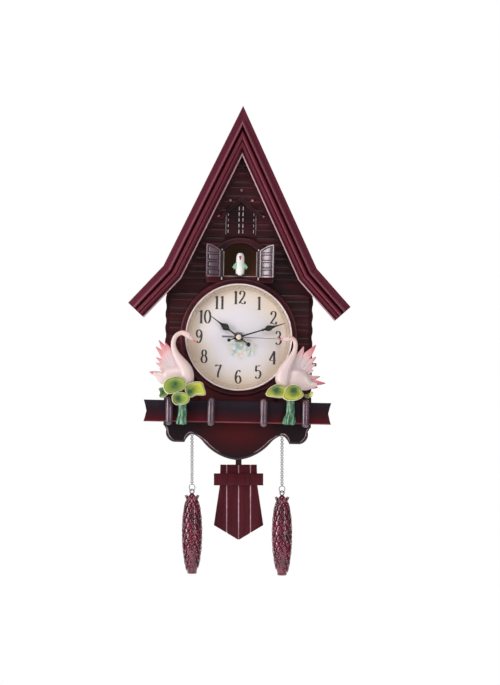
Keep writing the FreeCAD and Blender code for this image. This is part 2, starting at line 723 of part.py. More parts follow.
def arbor(r, bore, front, wheel_r, wheel_y):
    """A shaft or tube from the movement to its hand, with its wheel."""
    shaft = disc(r, front, wheel_y + 1.0)
    body = fused([shaft, disc(wheel_r, wheel_y, wheel_y + 1.0)])
    if bore:
        body = body.cut(disc(bore, front - 1, wheel_y + 2.0))
    return body


FRONT_WHEEL_Y = PANEL_BACK + MOVEMENT_WALL + 1.0
WHEEL_STEP = 2.2


def second_arbor():
    return arbor(SECOND_ARBOR_R, 0.0, SECOND_Y + 0.3, 7.0, FRONT_WHEEL_Y + 2 * WHEEL_STEP)


def minute_arbor():
    bore = SECOND_ARBOR_R + ARBOR_GAP
    return arbor(MINUTE_ARBOR_R, bore, MINUTE_Y - HAND_T, 8.5, FRONT_WHEEL_Y + WHEEL_STEP)


def hour_tube():
    bore = MINUTE_ARBOR_R + ARBOR_GAP
    return arbor(HOUR_TUBE_R, bore, HOUR_Y - HAND_T, 9.5, FRONT_WHEEL_Y)


def movement_nut():
    angles = [math.radians(60 * i) for i in range(6)]
    hexagon = [(NUT_R * math.cos(angle), NUT_R * math.sin(angle)) for angle in angles]
    front = PANEL_FRONT - DIAL_PLATE_T - NUT_T
    nut = polygon(hexagon, front, PANEL_FRONT - DIAL_PLATE_T)
    return nut.cut(disc(BUSH_R, front - 1, PANEL_FRONT))


CELL_BAY_Z = 19.2
CELL_BAY_R = CELL_R + 0.3
CELL_BAY_L = CELL_L + 2.0
CELL_PLAY = 0.2
KNOB_X = -16.0
KNOB_Z = -2.0
KNOB_T = 5.0
KNOB_STEM_R = 1.5


def movement_case():
    """A square box with a hollow front, a cell bay at its back, a bush and a pendulum pin."""
    h = MOVEMENT_W / 2
    w = MOVEMENT_WALL
    shell = box(-h, h, PANEL_BACK, MOVEMENT_BACK, -h, h)
    shell = shell.cut(box(-h + w, h - w, PANEL_BACK + w, MOVEMENT_BACK - w,
                          -h + w, CELL_BAY_Z - CELL_BAY_R - w))
    cell_y = MOVEMENT_BACK - CELL_R
    bay = box(-CELL_BAY_L / 2, CELL_BAY_L / 2, cell_y, MOVEMENT_BACK + 1,
              CELL_BAY_Z - CELL_BAY_R, CELL_BAY_Z + CELL_BAY_R)
    round_bay = Part.makeCylinder(CELL_BAY_R, CELL_BAY_L, Vector(-CELL_BAY_L / 2, cell_y, CELL_BAY_Z), AXIS_X)
    shell = shell.cut(bay).cut(round_bay)
    knob_hole = disc(KNOB_STEM_R + ARBOR_GAP, MOVEMENT_BACK - w - 1, MOVEMENT_BACK + 1, KNOB_X, KNOB_Z)
    shell = shell.cut(knob_hole)
    bush = disc(BUSH_R, PANEL_FRONT - DIAL_PLATE_T - NUT_T - 0.8, PANEL_BACK + w)
    pin = disc(PIVOT_PIN_R, MOVEMENT_BACK - w, PENDULUM_Y + 3.5, 0.0, PIVOT_Z)
    pin_head = disc(PIVOT_PIN_R + 1.2, PENDULUM_Y + 2.7, PENDULUM_Y + 3.5, 0.0, PIVOT_Z)
    body = fused([shell, bush, pin, pin_head])
    return body.cut(disc(HOUR_TUBE_R + ARBOR_GAP, PANEL_FRONT - 20, PANEL_BACK + w + 0.5))


def set_knob():
    """The wheel at the movement's back that sets the time."""
    stem = disc(KNOB_STEM_R, MOVEMENT_BACK - MOVEMENT_WALL - 1.0, MOVEMENT_BACK + 1.0, KNOB_X, KNOB_Z)
    wheel = disc(KNOB_R, MOVEMENT_BACK + 0.6, MOVEMENT_BACK + 0.6 + KNOB_T, KNOB_X, KNOB_Z)
    for step in range(12):
        angle = math.radians(30 * step)
        notch = disc(0.7, MOVEMENT_BACK + 0.5, MOVEMENT_BACK + 1 + KNOB_T,
                     KNOB_X + KNOB_R * math.cos(angle), KNOB_Z + KNOB_R * math.sin(angle))
        wheel = wheel.cut(notch)
    return fused([stem, wheel])


def aa_cells():
    """One cell in the movement and two in the sound module's holder."""
    r = CELL_R - CELL_PLAY
    cells = [Part.makeCylinder(r, CELL_L, Vector(-CELL_L / 2, MOVEMENT_BACK - CELL_R, CELL_BAY_Z), AXIS_X)]
    for sign in (-1, 1):
        x = HOLDER_X + sign * (CELL_R + 0.4)
        cells.append(post(r, HOLDER_Z - CELL_L / 2, HOLDER_Z + CELL_L / 2, x, -BACK_T - CELL_R))
    return Part.makeCompound(cells)


def battery_holder():
    """A tray for two cells, open at the back panel's outer face."""
    w, l = HOLDER_W / 2, HOLDER_L / 2
    t = HOLDER_WALL
    tray = box(HOLDER_X - w, HOLDER_X + w, -HOLDER_D, 0.0, HOLDER_Z - l, HOLDER_Z + l)
    return tray.cut(box(HOLDER_X - w + t, HOLDER_X + w - t, -HOLDER_D + t, 1,
                        HOLDER_Z - l + t, HOLDER_Z + l - t))


COVER_T = 2.0


def battery_cover():
    """A lid that sits in the tray's mouth and pulls off backwards."""
    w, l = HOLDER_W / 2 - HOLDER_WALL - COVER_GAP, HOLDER_L / 2 - HOLDER_WALL - COVER_GAP
    lid = box(HOLDER_X - w, HOLDER_X + w, -COVER_T, 0.0, HOLDER_Z - l, HOLDER_Z + l)
    return lid.cut(box(HOLDER_X - 6, HOLDER_X + 6, -0.8, 1, HOLDER_Z - l + 3, HOLDER_Z - l + 8))


def speaker():
    frame = disc(SPEAKER_R, -BACK_T - 3.0, -BACK_T, SPEAKER_X, SPEAKER_Z)
    cone_base = Vector(SPEAKER_X, -BACK_T - 3.0, SPEAKER_Z)
    cone = Part.makeCone(SPEAKER_R - 2.0, 9.0, 5.0, cone_base, -AXIS_Y)
    magnet = disc(9.0, -BACK_T - SPEAKER_D, -BACK_T - 8.0, SPEAKER_X, SPEAKER_Z)
    return fused([frame, cone, magnet])


def circuit_board():
    board = box(48.0, 80.0, -BACK_T - 4.6, -BACK_T - 3.0, 2.0, 48.0)
    pieces = [board]
    for x in (51.0, 77.0):
        for z in (5.0, 45.0):
            pieces.append(disc(2.0, -BACK_T - 3.0, -BACK_T, x, z))
    pieces.append(box(58.0, 70.0, -BACK_T - 6.6, -BACK_T - 4.6, 22.0, 34.0))
    pieces.append(disc(4.0, -BACK_T - 12.6, -BACK_T - 4.6, 60.0, 12.0))
    return fused(pieces)


SWITCH_BODY = (9.0, 12.0, 18.0)
LEVER_GAP = 0.4
SWITCH_POCKET_D = 5.0
LEVER_OUT = 5.7


def switch_body():
    """The slide switch, held against the right side's inner face."""
    d, w, h = SWITCH_BODY
    x1 = CASE_HALF_W - SIDE_T
    body = box(x1 - d, x1, SWITCH_Y - w / 2, SWITCH_Y + w / 2, SWITCH_Z - h / 2, SWITCH_Z + h / 2)
    sw, sh = SWITCH_SLOT
    return body.cut(box(x1 - SWITCH_POCKET_D, x1 + 1, SWITCH_Y - sw / 2, SWITCH_Y + sw / 2,
                        SWITCH_Z - sh / 2, SWITCH_Z + sh / 2))


def switch_lever():
    sw, sh = SWITCH_SLOT
    half_y = sw / 2 - LEVER_GAP
    half_z = sh / 2 - SWITCH_TRAVEL
    x0 = CASE_HALF_W - SIDE_T - SWITCH_POCKET_D + LEVER_GAP
    return box(x0, CASE_HALF_W + LEVER_OUT, SWITCH_Y - half_y, SWITCH_Y + half_y,
               SWITCH_Z - half_z, SWITCH_Z + half_z)


# Pendulum
HANGER_W = 9.0
HANGER_L = 30.0
HANGER_T = 4.8
HANGER_HEAD_H = 10.0
CROSSBAR_T = 2.0
CROSSBAR_Z = (-182.0, -167.2)
CROSSBAR_HALF_W = 30.3


def pendulum_hanger():
    """A bushed tab on the movement's pin, into which the rod is pushed."""
    y0, y1 = PENDULUM_Y - HANGER_T / 2, PENDULUM_Y + HANGER_T / 2
    tab = fused([disc(HANGER_W / 2, y0, y1, 0.0, PIVOT_Z),
                 box(-HANGER_W / 2, HANGER_W / 2, y0, y1, PIVOT_Z - HANGER_L, PIVOT_Z)])
    tab = tab.cut(disc(PIVOT_PIN_R + ARBOR_GAP, y0 - 1, y1 + 1, 0.0, PIVOT_Z))
    return tab.cut(rod_bar(PIVOT_Z - HANGER_L - 1, PIVOT_Z - HANGER_HEAD_H))


def rod_bar(z0, z1):
    return box(-ROD_W / 2, ROD_W / 2, PENDULUM_Y - ROD_T / 2, PENDULUM_Y + ROD_T / 2, z0, z1)


def pendulum_rod():
    return rod_bar(BOB_TOP_Z - ROD_TENON, PIVOT_Z - HANGER_HEAD_H)


def pendulum_bob():
    """A tapered tablet with a pointed foot and three upright grooves."""
    y0, y1 = PENDULUM_Y - BOB_T / 2, PENDULUM_Y + BOB_T / 2
    half = [(BOB_SHOULDER_W / 2, BOB_TOP_Z), (BOB_WAIST_W / 2, CROSSBAR_Z[0]),
            (BOB_WIDEST_W / 2, BOB_WIDEST_Z), (0.0, BOB_BOTTOM_Z)]
    points = half + [(-x, z) for x, z in reversed(half[:-1])]
    bob = polygon(points, y0, y1)
    for x in (-BOB_GROOVE_X, 0.0, BOB_GROOVE_X):
        bob = bob.cut(box(x - BOB_GROOVE_W / 2, x + BOB_GROOVE_W / 2, y0 - 1, y0 + BOB_GROOVE_D,
                          BOB_BOTTOM_Z - 1, BOB_TOP_Z + 1))
    return bob.cut(rod_bar(BOB_TOP_Z - ROD_TENON, BOB_TOP_Z + 1))


def bob_crossbar():
    front = PENDULUM_Y - BOB_T / 2
    return box(-CROSSBAR_HALF_W, CROSSBAR_HALF_W, front - CROSSBAR_T, front, CROSSBAR_Z[0], CROSSBAR_Z[1])


# Chains, rings and pine cones
LINK_PITCH = 2 * LINK_R - 2 * LINK_WIRE_R - LINK_GAP
FIRST_LINK_Z = HOOK_PIVOT_Z + EYE_WIRE_R + LINK_WIRE_R + LINK_GAP - LINK_R
LAST_LINK_Z = FIRST_LINK_Z - (LINK_COUNT - 1) * LINK_PITCH
RING_PIVOT_Z = LAST_LINK_Z - LINK_R + LINK_WIRE_R + RING_WIRE_R + LINK_GAP
RING_Z = RING_PIVOT_Z - RING_R
RING_TURN = 30.0
EYELET_TURN = -15.0
EYELET_R = 3.2
EYELET_HOLE_R = 2.2
EYELET_T = 1.6
EYELET_Z = RING_Z - RING_R - 0.6
CONE_TOP_Z = EYELET_Z + EYELET_R


def chain_hooks():
    """Two screw eyes in the floor."""
    hooks = []
    for sign in (-1, 1):
        shank = post(HOOK_SHANK_R, HOOK_EYE_Z + EYE_R - 0.2, FLOOR_TOP_Z, sign * CHAIN_X, CHAIN_Y)
        eye = Part.makeTorus(EYE_R, EYE_WIRE_R, Vector(sign * CHAIN_X, CHAIN_Y, HOOK_EYE_Z), AXIS_X)
        hooks.append(fused([shank, eye]))
    return Part.makeCompound(hooks)


def chain_right():
    """Round links, each turned a quarter from the one above."""
    links = []
    for i in range(LINK_COUNT):
        centre = Vector(CHAIN_X, CHAIN_Y, FIRST_LINK_Z - i * LINK_PITCH)
        links.append(Part.makeTorus(LINK_R, LINK_WIRE_R, centre, AXIS_X if i % 2 else AXIS_Y))
    return Part.makeCompound(links)


def cone_ring_right():
    centre = Vector(CHAIN_X, CHAIN_Y, RING_Z)
    return turned(Part.makeTorus(RING_R, RING_WIRE_R, centre, AXIS_Y), centre, AXIS_Z, RING_TURN)


def pinecone_right():
    """A pine cone with a flared crown, hung by a flat eyelet."""
    z = CONE_TOP_Z
    r = CONE_R
    body = turning((0.0, -7.6), [
        (3.4, -7.6),
        (r * 0.69, -8.7),
        ((r * 0.5, -11.0), (r * 0.42, -14.7)),
        ((r * 0.93, -32.0), (r, -CONE_L * 0.49)),
        ((r * 0.86, -CONE_L * 0.76), (r * 0.42, -CONE_L + 1.0)),
        (r * 0.3, -CONE_L),
        (0.0, -CONE_L),
    ], Vector(CHAIN_X, CHAIN_Y, z))
    eyelet = fused([disc(EYELET_R, CHAIN_Y - EYELET_T / 2, CHAIN_Y + EYELET_T / 2, CHAIN_X, EYELET_Z),
                    box(CHAIN_X - 2.0, CHAIN_X + 2.0, CHAIN_Y - EYELET_T / 2, CHAIN_Y + EYELET_T / 2,
                        z - 8.6, EYELET_Z)])
    eyelet = eyelet.cut(disc(EYELET_HOLE_R, CHAIN_Y - 3, CHAIN_Y + 3, CHAIN_X, EYELET_Z))
    eyelet = turned(eyelet, Vector(CHAIN_X, CHAIN_Y, 0), AXIS_Z, EYELET_TURN)
    return fused([body, eyelet])


# Rail, posts and apron
RAIL_BACK = PANEL_FRONT - APRON_T
RAIL_FRONT = RAIL_BACK - RAIL_T


def balcony_rail():
    """A board across the case with swallow-tail ends."""
    l, n, z0, z1 = RAIL_HALF_L, RAIL_NOTCH, RAIL_BOTTOM_Z, RAIL_TOP_Z
    h = z1 - z0
    middle = (z0 + z1) / 2
    cut = n * 0.7
    steps = [(l, z0), ((l - cut, z0 + h * 0.22), (l - n, middle)), ((l - cut, z1 - h * 0.22), (l, z1)),
             (-l, z1), ((-l + cut, z1 - h * 0.22), (-l + n, middle)), ((-l + cut, z0 + h * 0.22), (-l, z0))]
    rail = slab((-l, z0), steps, RAIL_FRONT, RAIL_BACK)
    long_edges = [e for e in rail.Edges if e.Length > l and abs(e.CenterOfMass.y - RAIL_FRONT) < 0.1]
    return rail.makeFillet(1.5, long_edges)


def balcony_posts():
    """Half-round uprights with domed ends on the rail's front."""
    posts = []
    for x in POST_XS:
        for sign in (-1, 1):
            centre = sign * x
            shaft = post(POST_R, POST_BOTTOM_Z + POST_R, POST_TOP_Z - POST_R, centre, RAIL_FRONT)
            ends = [Part.makeSphere(POST_R, Vector(centre, RAIL_FRONT, z))
                    for z in (POST_BOTTOM_Z + POST_R, POST_TOP_Z - POST_R)]
            whole = fused([shaft] + ends)
            posts.append(whole.common(box(centre - 9, centre + 9, RAIL_FRONT - 9, RAIL_FRONT, -200, 0)))
    return Part.makeCompound(posts)


def apron():
    """A shaped board below the rail: a lobe at each side and a deep rounded middle."""
    w = CASE_HALF_W - 0.4
    top = SIDING_BOTTOM_Z
    step = RAIL_BOTTOM_Z - 3.1
    low = RAIL_BOTTOM_Z - 24.7
    foot = RAIL_BOTTOM_Z - 45.4
    notch = (CHAIN_X, RAIL_BOTTOM_Z - 14.2)
    turn = (CHAIN_X * 0.764, RAIL_BOTTOM_Z - 22.7)
    right = [
        (w, step),
        (w - 3.5, step - 6.5),
        ((w - 5.4, low + 4.8), (w - 13.1, low)),
        (notch[0] + 8.8, low),
        ((notch[0] + 4.6, low + 6.8), notch),
        ((notch[0] - 6.0, notch[1] - 2.8), turn),
        ((turn[0] * 0.52, foot + 6.2), (0.0, foot)),
    ]
    right_half = slab((0.0, top), [(w, top)] + right, PANEL_FRONT - APRON_T, PANEL_FRONT)
    return fused([right_half, mirrored(right_half)])


# Swans and lilies
SWAN_Y = RAIL_FRONT - 5.0
SWAN_HALF_D = 7.0
SWAN_SHIFT = 5.8
LILY_BACK = SWAN_Y - SWAN_HALF_D
LEAF_T = 5.0
LEAF_STEP = 0.7


def swan(sign, shift):
    """A swan facing the dial: body, curved neck with head and beak, and raised wing feathers."""
    def spot(x, z):
        return (sign * (x - shift), z)

    body = oval(*spot(73.0, -43.0), 21.0, 16.0, SWAN_Y - SWAN_HALF_D, SWAN_Y + SWAN_HALF_D, 4.0)
    neck = slab(spot(66.0, -44.0), [
        (spot(80.0, -27.0), spot(82.0, -9.0)),
        (spot(80.0, 1.6), spot(70.0, 6.7)),
        (spot(61.5, 5.6), spot(56.6, -2.0)),
        spot(53.5, -5.2),
        spot(60.5, -5.6),
        (spot(64.5, -0.6), spot(69.5, 0.8)),
        (spot(74.6, -2.0), spot(76.0, -9.0)),
        (spot(72.0, -22.0), spot(56.0, -38.0)),
    ], SWAN_Y - 5.0, SWAN_Y + 1.0)
    tips = [(86.0, -50.0), (107.0, -44.5), (95.0, -39.0), (99.5, -32.0), (94.0, -28.0), (99.5, -20.0),
            (92.0, -20.0), (99.9, -12.5), (90.0, -14.0), (96.6, -5.8), (86.0, -12.0), (76.0, -32.0)]
    feathers = polygon([spot(x, z) for x, z in tips], SWAN_Y - 4.0, SWAN_Y + 5.0)
    return fused([body, neck, feathers])


def lily(sign, shift):
    """Broad leaves in front of the swan's foot, joined to a thick stem on the rail."""
    leaves = [((76.5, -59.0), (14.0, 10.0)), ((51.3 + shift, -63.5), (13.0, 8.5)), ((68.8, -74.5), (10.5, 7.0))]
    heart_x, heart_z = sign * (66.0 - shift), -79.0
    foot_x, foot_z = sign * (68.4 - shift), -106.0
    pieces = [polygon([(heart_x - 5.5, heart_z), (heart_x + 5.5, heart_z), (foot_x + 7.0, foot_z),
                       (foot_x - 7.0, foot_z)], LILY_BACK - LEAF_T / 2, RAIL_FRONT)]
    for i, ((x, z), (half_w, half_h)) in enumerate(leaves):
        y0 = LILY_BACK - LEAF_T - LEAF_STEP * i
        leaf_x = sign * (x - shift)
        pieces.append(oval(leaf_x, z, half_w, half_h, y0, LILY_BACK, 1.2))
        pieces.append(polygon([(leaf_x - 2.0, z), (leaf_x + 2.0, z), (heart_x + 2.6, heart_z - 2.0),
                               (heart_x - 2.6, heart_z - 2.0)], y0 + 1.5, LILY_BACK - 0.5))
    return fused(pieces)


def plumb(shape, x, y, z):
    """A hanging piece, turned about its pivot to where it settles in the leaning clock."""
    return turned(shape, Vector(x, y, z), AXIS_Y, -PLUMB_LEAN)


def hung_pair(stem, right):
    """A piece on each chain, turned about the chain's hook."""
    save(stem + "_right", plumb(right, CHAIN_X, CHAIN_Y, HOOK_PIVOT_Z))
    save(stem + "_left", plumb(mirrored(right), -CHAIN_X, CHAIN_Y, HOOK_PIVOT_Z))


def mirrored_pair(stem, right):
    save(stem + "_right", right)
    save(stem + "_left", mirrored(right))


def main():
    os.makedirs("parts", exist_ok=True)
    mirrored_pair("roof_board", roof_board())
    mirrored_pair("roof_moulding", moulding(True))
    mirrored_pair("eave_moulding", moulding(False))
    save("case_side_left", mirrored(case_side()))
    save("case_side_right", case_side_right())
    mirrored_pair("shutter", shutter_right())
    hung_pair("chain", chain_right())
    hung_pair("cone_ring", cone_ring_right())
    hung_pair("pinecone", pinecone_right())
    save("swan_left", swan(-1, 0.0))
    save("swan_right", swan(1, SWAN_SHIFT))
    save("lily_left", lily(-1, 0.0))
    save("lily_right", lily(1, SWAN_SHIFT))
    for make in (back_panel, hanger_plate, screws, case_floor, front_panel, gable_window, gable_pediment,
                 door_surround, shutter_pins, bird_body, bird_wings, bird_carriage, bird_chamber, bird_motor,
                 dial_plate, dial_glass, hour_hand, minute_hand, second_hand, hour_tube, minute_arbor,
                 second_arbor, movement_case, movement_nut, set_knob, chain_hooks, balcony_rail,
                 balcony_posts, apron, speaker, circuit_board, battery_holder, aa_cells, battery_cover,
                 switch_body, switch_lever):
        save(make.__name__, make())
    for make in (pendulum_hanger, pendulum_rod, pendulum_bob, bob_crossbar):
        save(make.__name__, plumb(make(), 0.0, PENDULUM_Y, PIVOT_Z))


main()
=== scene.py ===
"""Looks of the pendulum wall clock: a log house with a dial, a bird door, two swans and pine cones.

Everything is in metres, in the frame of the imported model. Heights are worked out from the dial's
centre, and depths from the boxes of the pieces that each new piece stands for.
"""
import math
import random

import bpy
from mathutils import Matrix, Vector


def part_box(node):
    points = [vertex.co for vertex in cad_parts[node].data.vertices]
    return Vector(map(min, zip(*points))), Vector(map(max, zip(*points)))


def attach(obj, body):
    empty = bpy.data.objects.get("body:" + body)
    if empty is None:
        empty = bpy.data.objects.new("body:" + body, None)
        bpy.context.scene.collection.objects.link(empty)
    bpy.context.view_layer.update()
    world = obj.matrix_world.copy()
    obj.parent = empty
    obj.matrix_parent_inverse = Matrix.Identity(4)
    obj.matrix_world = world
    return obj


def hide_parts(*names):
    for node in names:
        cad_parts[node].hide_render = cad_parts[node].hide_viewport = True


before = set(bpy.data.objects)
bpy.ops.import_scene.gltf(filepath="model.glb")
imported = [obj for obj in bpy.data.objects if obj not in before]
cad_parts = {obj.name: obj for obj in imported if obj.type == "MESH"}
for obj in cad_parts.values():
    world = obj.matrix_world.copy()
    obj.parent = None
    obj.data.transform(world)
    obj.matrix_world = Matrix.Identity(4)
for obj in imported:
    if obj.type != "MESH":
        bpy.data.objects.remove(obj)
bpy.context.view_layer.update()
MM = 0.001
ops = bpy.ops
random.seed(7)


# ---------------------------------------------------------------- measures from the frame
def low(node):
    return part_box(node)[0]


def high(node):
    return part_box(node)[1]


DIAL_LOW, DIAL_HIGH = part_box("dial_glass")
DIAL_Z = (DIAL_LOW[2] + DIAL_HIGH[2]) / 2
DIAL_R = (DIAL_HIGH[0] - DIAL_LOW[0]) / 2
PANEL_Y = DIAL_HIGH[1]
CASE_HALF_W = high("front_panel")[0]


def up(height_mm):
    """The Z of a height given in millimetres above the dial's centre."""
    return DIAL_Z + height_mm * MM


# ---------------------------------------------------------------- shader maths
class Sum:
    """A socket or number of a material, with the operators that add Math nodes."""

    def __init__(self, material, socket):
        self.material = material
        self.socket = socket

    def math(self, operation, *others):
        return self.material.node("ShaderNodeMath", {"operation": operation}, (self,) + others)

    def __add__(self, other):
        return self.math("ADD", other)

    def __radd__(self, other):
        return self.math("ADD", other)

    def __sub__(self, other):
        return self.math("SUBTRACT", other)

    def __rsub__(self, other):
        return self.material.node("ShaderNodeMath", {"operation": "SUBTRACT"}, (other, self))

    def __mul__(self, other):
        return self.math("MULTIPLY", other)

    def __rmul__(self, other):
        return self.math("MULTIPLY", other)

    def __truediv__(self, other):
        return self.math("DIVIDE", other)

    def __rtruediv__(self, other):
        return self.material.node("ShaderNodeMath", {"operation": "DIVIDE"}, (other, self))

    def __pow__(self, other):
        return self.math("POWER", other)

    def __neg__(self):
        return self.math("MULTIPLY", -1.0)

    def above(self, edge):
        return self.math("GREATER_THAN", edge)

    def below(self, edge):
        return self.math("LESS_THAN", edge)

    def clamped(self):
        return self.material.node("ShaderNodeClamp", {}, (self, 0.0, 1.0))


class Finish:
    """A node material: node() adds any node, and paint() sets the shader's sockets."""

    def __init__(self, name, **constants):
        self.made = bpy.data.materials.new(name)
        self.made.use_nodes = True
        self.tree = self.made.node_tree
        self.shader = self.tree.nodes["Principled BSDF"]
        for socket, value in constants.items():
            self.shader.inputs[socket.replace("_", " ")].default_value = value
        self.place = self.node("ShaderNodeTexCoord", {}, (), "Object")

    def plug(self, value, socket):
        if isinstance(value, Sum):
            self.tree.links.new(value.socket, socket)
        elif isinstance(value, (tuple,
                                list)) and len(value) == 3 and len(socket.default_value) == 4:
            socket.default_value = (*value, 1.0)
        else:
            socket.default_value = value

    def node(self, kind, settings, values=(), output=0):
        """A node of this kind: settings first, then its inputs in order, or by name in a dict."""
        made = self.tree.nodes.new(kind)
        for key, value in settings.items():
            if key == "stops":
                self.stops(made.color_ramp, value)
            else:
                setattr(made, key, value)
        pairs = values.items() if isinstance(values, dict) else enumerate(values)
        for key, value in pairs:
            self.plug(value, made.inputs[key])
        return Sum(self, made.outputs[output])

    def stops(self, ramp, stops):
        while len(ramp.elements) < len(stops):
            ramp.elements.new(0.5)
        for element, (position, colour) in zip(ramp.elements, stops):
            element.position = position
            element.color = (*colour, 1.0)

    def axis(self, letter):
        return self.node("ShaderNodeSeparateXYZ", {}, (self.place,), letter)

    def moved(self, location=(0, 0, 0), rotation=(0, 0, 0), scale=(1, 1, 1)):
        """The piece's own coordinates, turned, moved and scaled."""
        return self.node("ShaderNodeMapping", {}, (self.place, location, rotation, scale))

    def noise(self, scale, detail=3.0, place=None, rough=0.5):
        return self.node("ShaderNodeTexNoise", {}, {
            "Vector": place or self.place, "Scale": scale, "Detail": detail, "Roughness": rough})

    def ramp(self, value, *stops):
        return self.node("ShaderNodeValToRGB", {"stops": stops}, (value,))

    def mix(self, factor, first, second):
        return self.node("ShaderNodeMix", {"data_type": "RGBA"}, {0: factor, 6: first, 7: second},
                         2)

    def bump(self, height, strength, distance):
        return self.node("ShaderNodeBump", {}, {
            "Height": height, "Strength": strength, "Distance": distance})

    def paint(self, **links):
        for socket, value in links.items():
            self.plug(value, self.shader.inputs[socket.replace("_", " ")])
        return self.made


# ---------------------------------------------------------------- finishes
def gloss(name, dark, light, roughness=0.22, scale=60.0, coat=0.6):
    """Painted and varnished plastic: two tones of paint, an uneven coat and small dimples."""
    f = Finish(name, Coat_Roughness=0.08, IOR=1.5)
    tone = f.ramp(f.noise(scale, 4.0), (0.35, dark), (0.68, light))
    grain = f.noise(scale * 12, 2.0)
    worn = f.noise(scale * 0.5, 2.0)
    return f.paint(
        Base_Color=tone, Roughness=roughness + 0.16 * worn - 0.05, Coat_Weight=coat - 0.25 * worn,
        Normal=f.bump(grain, 0.12, 0.0004))


def along(name, turn, dark, light, streak=34.0):
    """Stained wood whose grain runs along Z after a turn about Y."""
    f = Finish(name, Coat_Roughness=0.15, IOR=1.28)
    board = f.moved(rotation=(0, turn, 0), scale=(streak * 14, streak * 6, streak * 0.55))
    fibre = f.noise(1.0, 6.0, board, 0.62)
    band = f.noise(1.0, 2.0, f.moved(rotation=(0, turn, 0), scale=(90, 60, 5)))
    tone = f.mix(f.ramp(band, (0.35, (0, 0, 0)), (0.65, (1, 1, 1))),
                 f.ramp(fibre, (0.3, dark), (0.72, light)),
                 f.ramp(fibre, (0.25, dark), (0.9, light)))
    return f, fibre, tone


def roof_stain(name, turn, offset, sense):
    """Matt burgundy stain with fine grain; the crests of the moulding are painted pale, part rubbed wear and part
    painted highlight, and its grooves are painted dark as shade.
    """
    f, fibre, tone = along(name, turn, (0.070, 0.006, 0.014), (0.180, 0.022, 0.042))
    board = f.moved(rotation=(0, turn, 0))
    across = (f.node("ShaderNodeSeparateXYZ", {}, (board,), "X") - offset) * sense
    # Pale stripes on the ridges and the inner edge are part rubbed wear, part painted highlight; the dark stripes
    # in the grooves are painted shade
    stripes = ((0.0, (0.17, 0.035, 0.060)), (0.03, (0.105, 0.010, 0.024)),
               (0.26, (0.115, 0.012, 0.028)),
               (0.33, (0.36, 0.13, 0.18)), (0.37, (0.26, 0.07, 0.105)),
               (0.41, (0.075, 0.006, 0.014)),
               (0.475, (0.085, 0.007, 0.016)), (0.52, (0.135, 0.015, 0.028)),
               (0.60, (0.16, 0.021, 0.036)),
               (0.645, (0.33, 0.10, 0.14)), (0.68, (0.085, 0.008, 0.016)),
               (0.73, (0.135, 0.015, 0.029)),
               (0.82, (0.130, 0.014, 0.028)), (0.87, (0.060, 0.006, 0.012)),
               (0.925, (0.09, 0.010, 0.020)),
               (0.955, (0.80, 0.52, 0.58)))
    ridge_wear_and_painted_light = f.ramp(across / MOULDING_W, *stripes)
    colour = f.mix(0.30 * fibre + 0.12, ridge_wear_and_painted_light, tone)
    return f.paint(Base_Color=colour, Roughness=0.66 - 0.14 * fibre, Coat_Weight=0.04,
                   Normal=f.bump(fibre, 0.35, 0.0004))


MOULDING_W = 25.8 * MM
LOG_DARK = (0.013, 0.0035, 0.005)
LOG_RED = (0.070, 0.008, 0.012)


def log_finish():
    """Dark varnished logs, redder low down, with long faint streaks."""
    f = Finish("dark_logs", Coat_Roughness=0.2, IOR=1.28)
    streak = f.noise(1.0, 4.0, f.moved(scale=(18, 60, 260)))
    cloud = f.noise(9.0, 2.0)
    low_down = ((up(60.0) - f.axis("Z")) / (160 * MM)).clamped() * 0.16
    tone = f.ramp(streak * 0.5 + cloud * 0.5 + low_down, (0.40, LOG_DARK), (0.72, LOG_RED))
    return f.paint(Base_Color=tone, Roughness=0.40 + 0.14 * cloud, Coat_Weight=0.14 - 0.1 * streak,
                   Normal=f.bump(streak, 0.18, 0.0005))


# ---------------------------------------------------------------- modelling
def clear():
    if bpy.context.object and bpy.context.object.mode != "OBJECT":
        ops.object.mode_set(mode="OBJECT")
    ops.object.select_all(action="DESELECT")


def editing():
    ops.object.mode_set(mode="EDIT")


def done():
    """Leave edit mode with the walls facing outwards."""
    ops.mesh.select_all(action="SELECT")
    ops.mesh.remove_doubles(threshold=0.004 * MM)
    ops.mesh.normals_make_consistent(inside=False)
    ops.object.mode_set(mode="OBJECT")
    return bpy.context.object


def applied(piece, kind, **settings):
    """Add a modifier with these settings and apply it."""
    clear()
    piece.select_set(True)
    bpy.context.view_layer.objects.active = piece
    modifier = piece.modifiers.new("step", kind)
    for key, value in settings.items():
        setattr(modifier, key, value)
    ops.object.modifier_apply(modifier=modifier.name)
    return piece


def softened(piece, width, segments=3, angle=35.0):
    """Round every edge sharper than the angle."""
    return applied(piece, "BEVEL", width=width * MM, segments=segments, limit_method="ANGLE",
                   angle_limit=math.radians(angle), harden_normals=False)


def settled(piece, name, finish, body, nodes=(), smooth=40.0):
    """Name the piece, set its place into its mesh, paint it, and let it ride on a body."""
    clear()
    piece.select_set(True)
    bpy.context.view_layer.objects.active = piece
    ops.object.transform_apply(location=True, rotation=True, scale=True)
    ops.object.shade_smooth_by_angle(angle=math.radians(smooth))
    piece.name = name
    piece.data.materials.clear()
    piece.data.materials.append(finish)
    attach(piece, body)
    if nodes:
        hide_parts(*nodes)
    return piece


def joined(pieces):
    clear()
    for piece in pieces:
        piece.select_set(True)
    bpy.context.view_layer.objects.active = pieces[0]
    if len(pieces) > 1:
        ops.object.join()
    return bpy.context.object


def copied(piece):
    twin = piece.copy()
    twin.data = piece.data.copy()
    bpy.context.collection.objects.link(twin)
    return twin


def mirrored(piece):
    """A copy on the other side of the middle plane."""
    twin = copied(piece)
    twin.data.transform(Matrix.Scale(-1, 4, (1, 0, 0)))
    twin.data.flip_normals()
    return twin


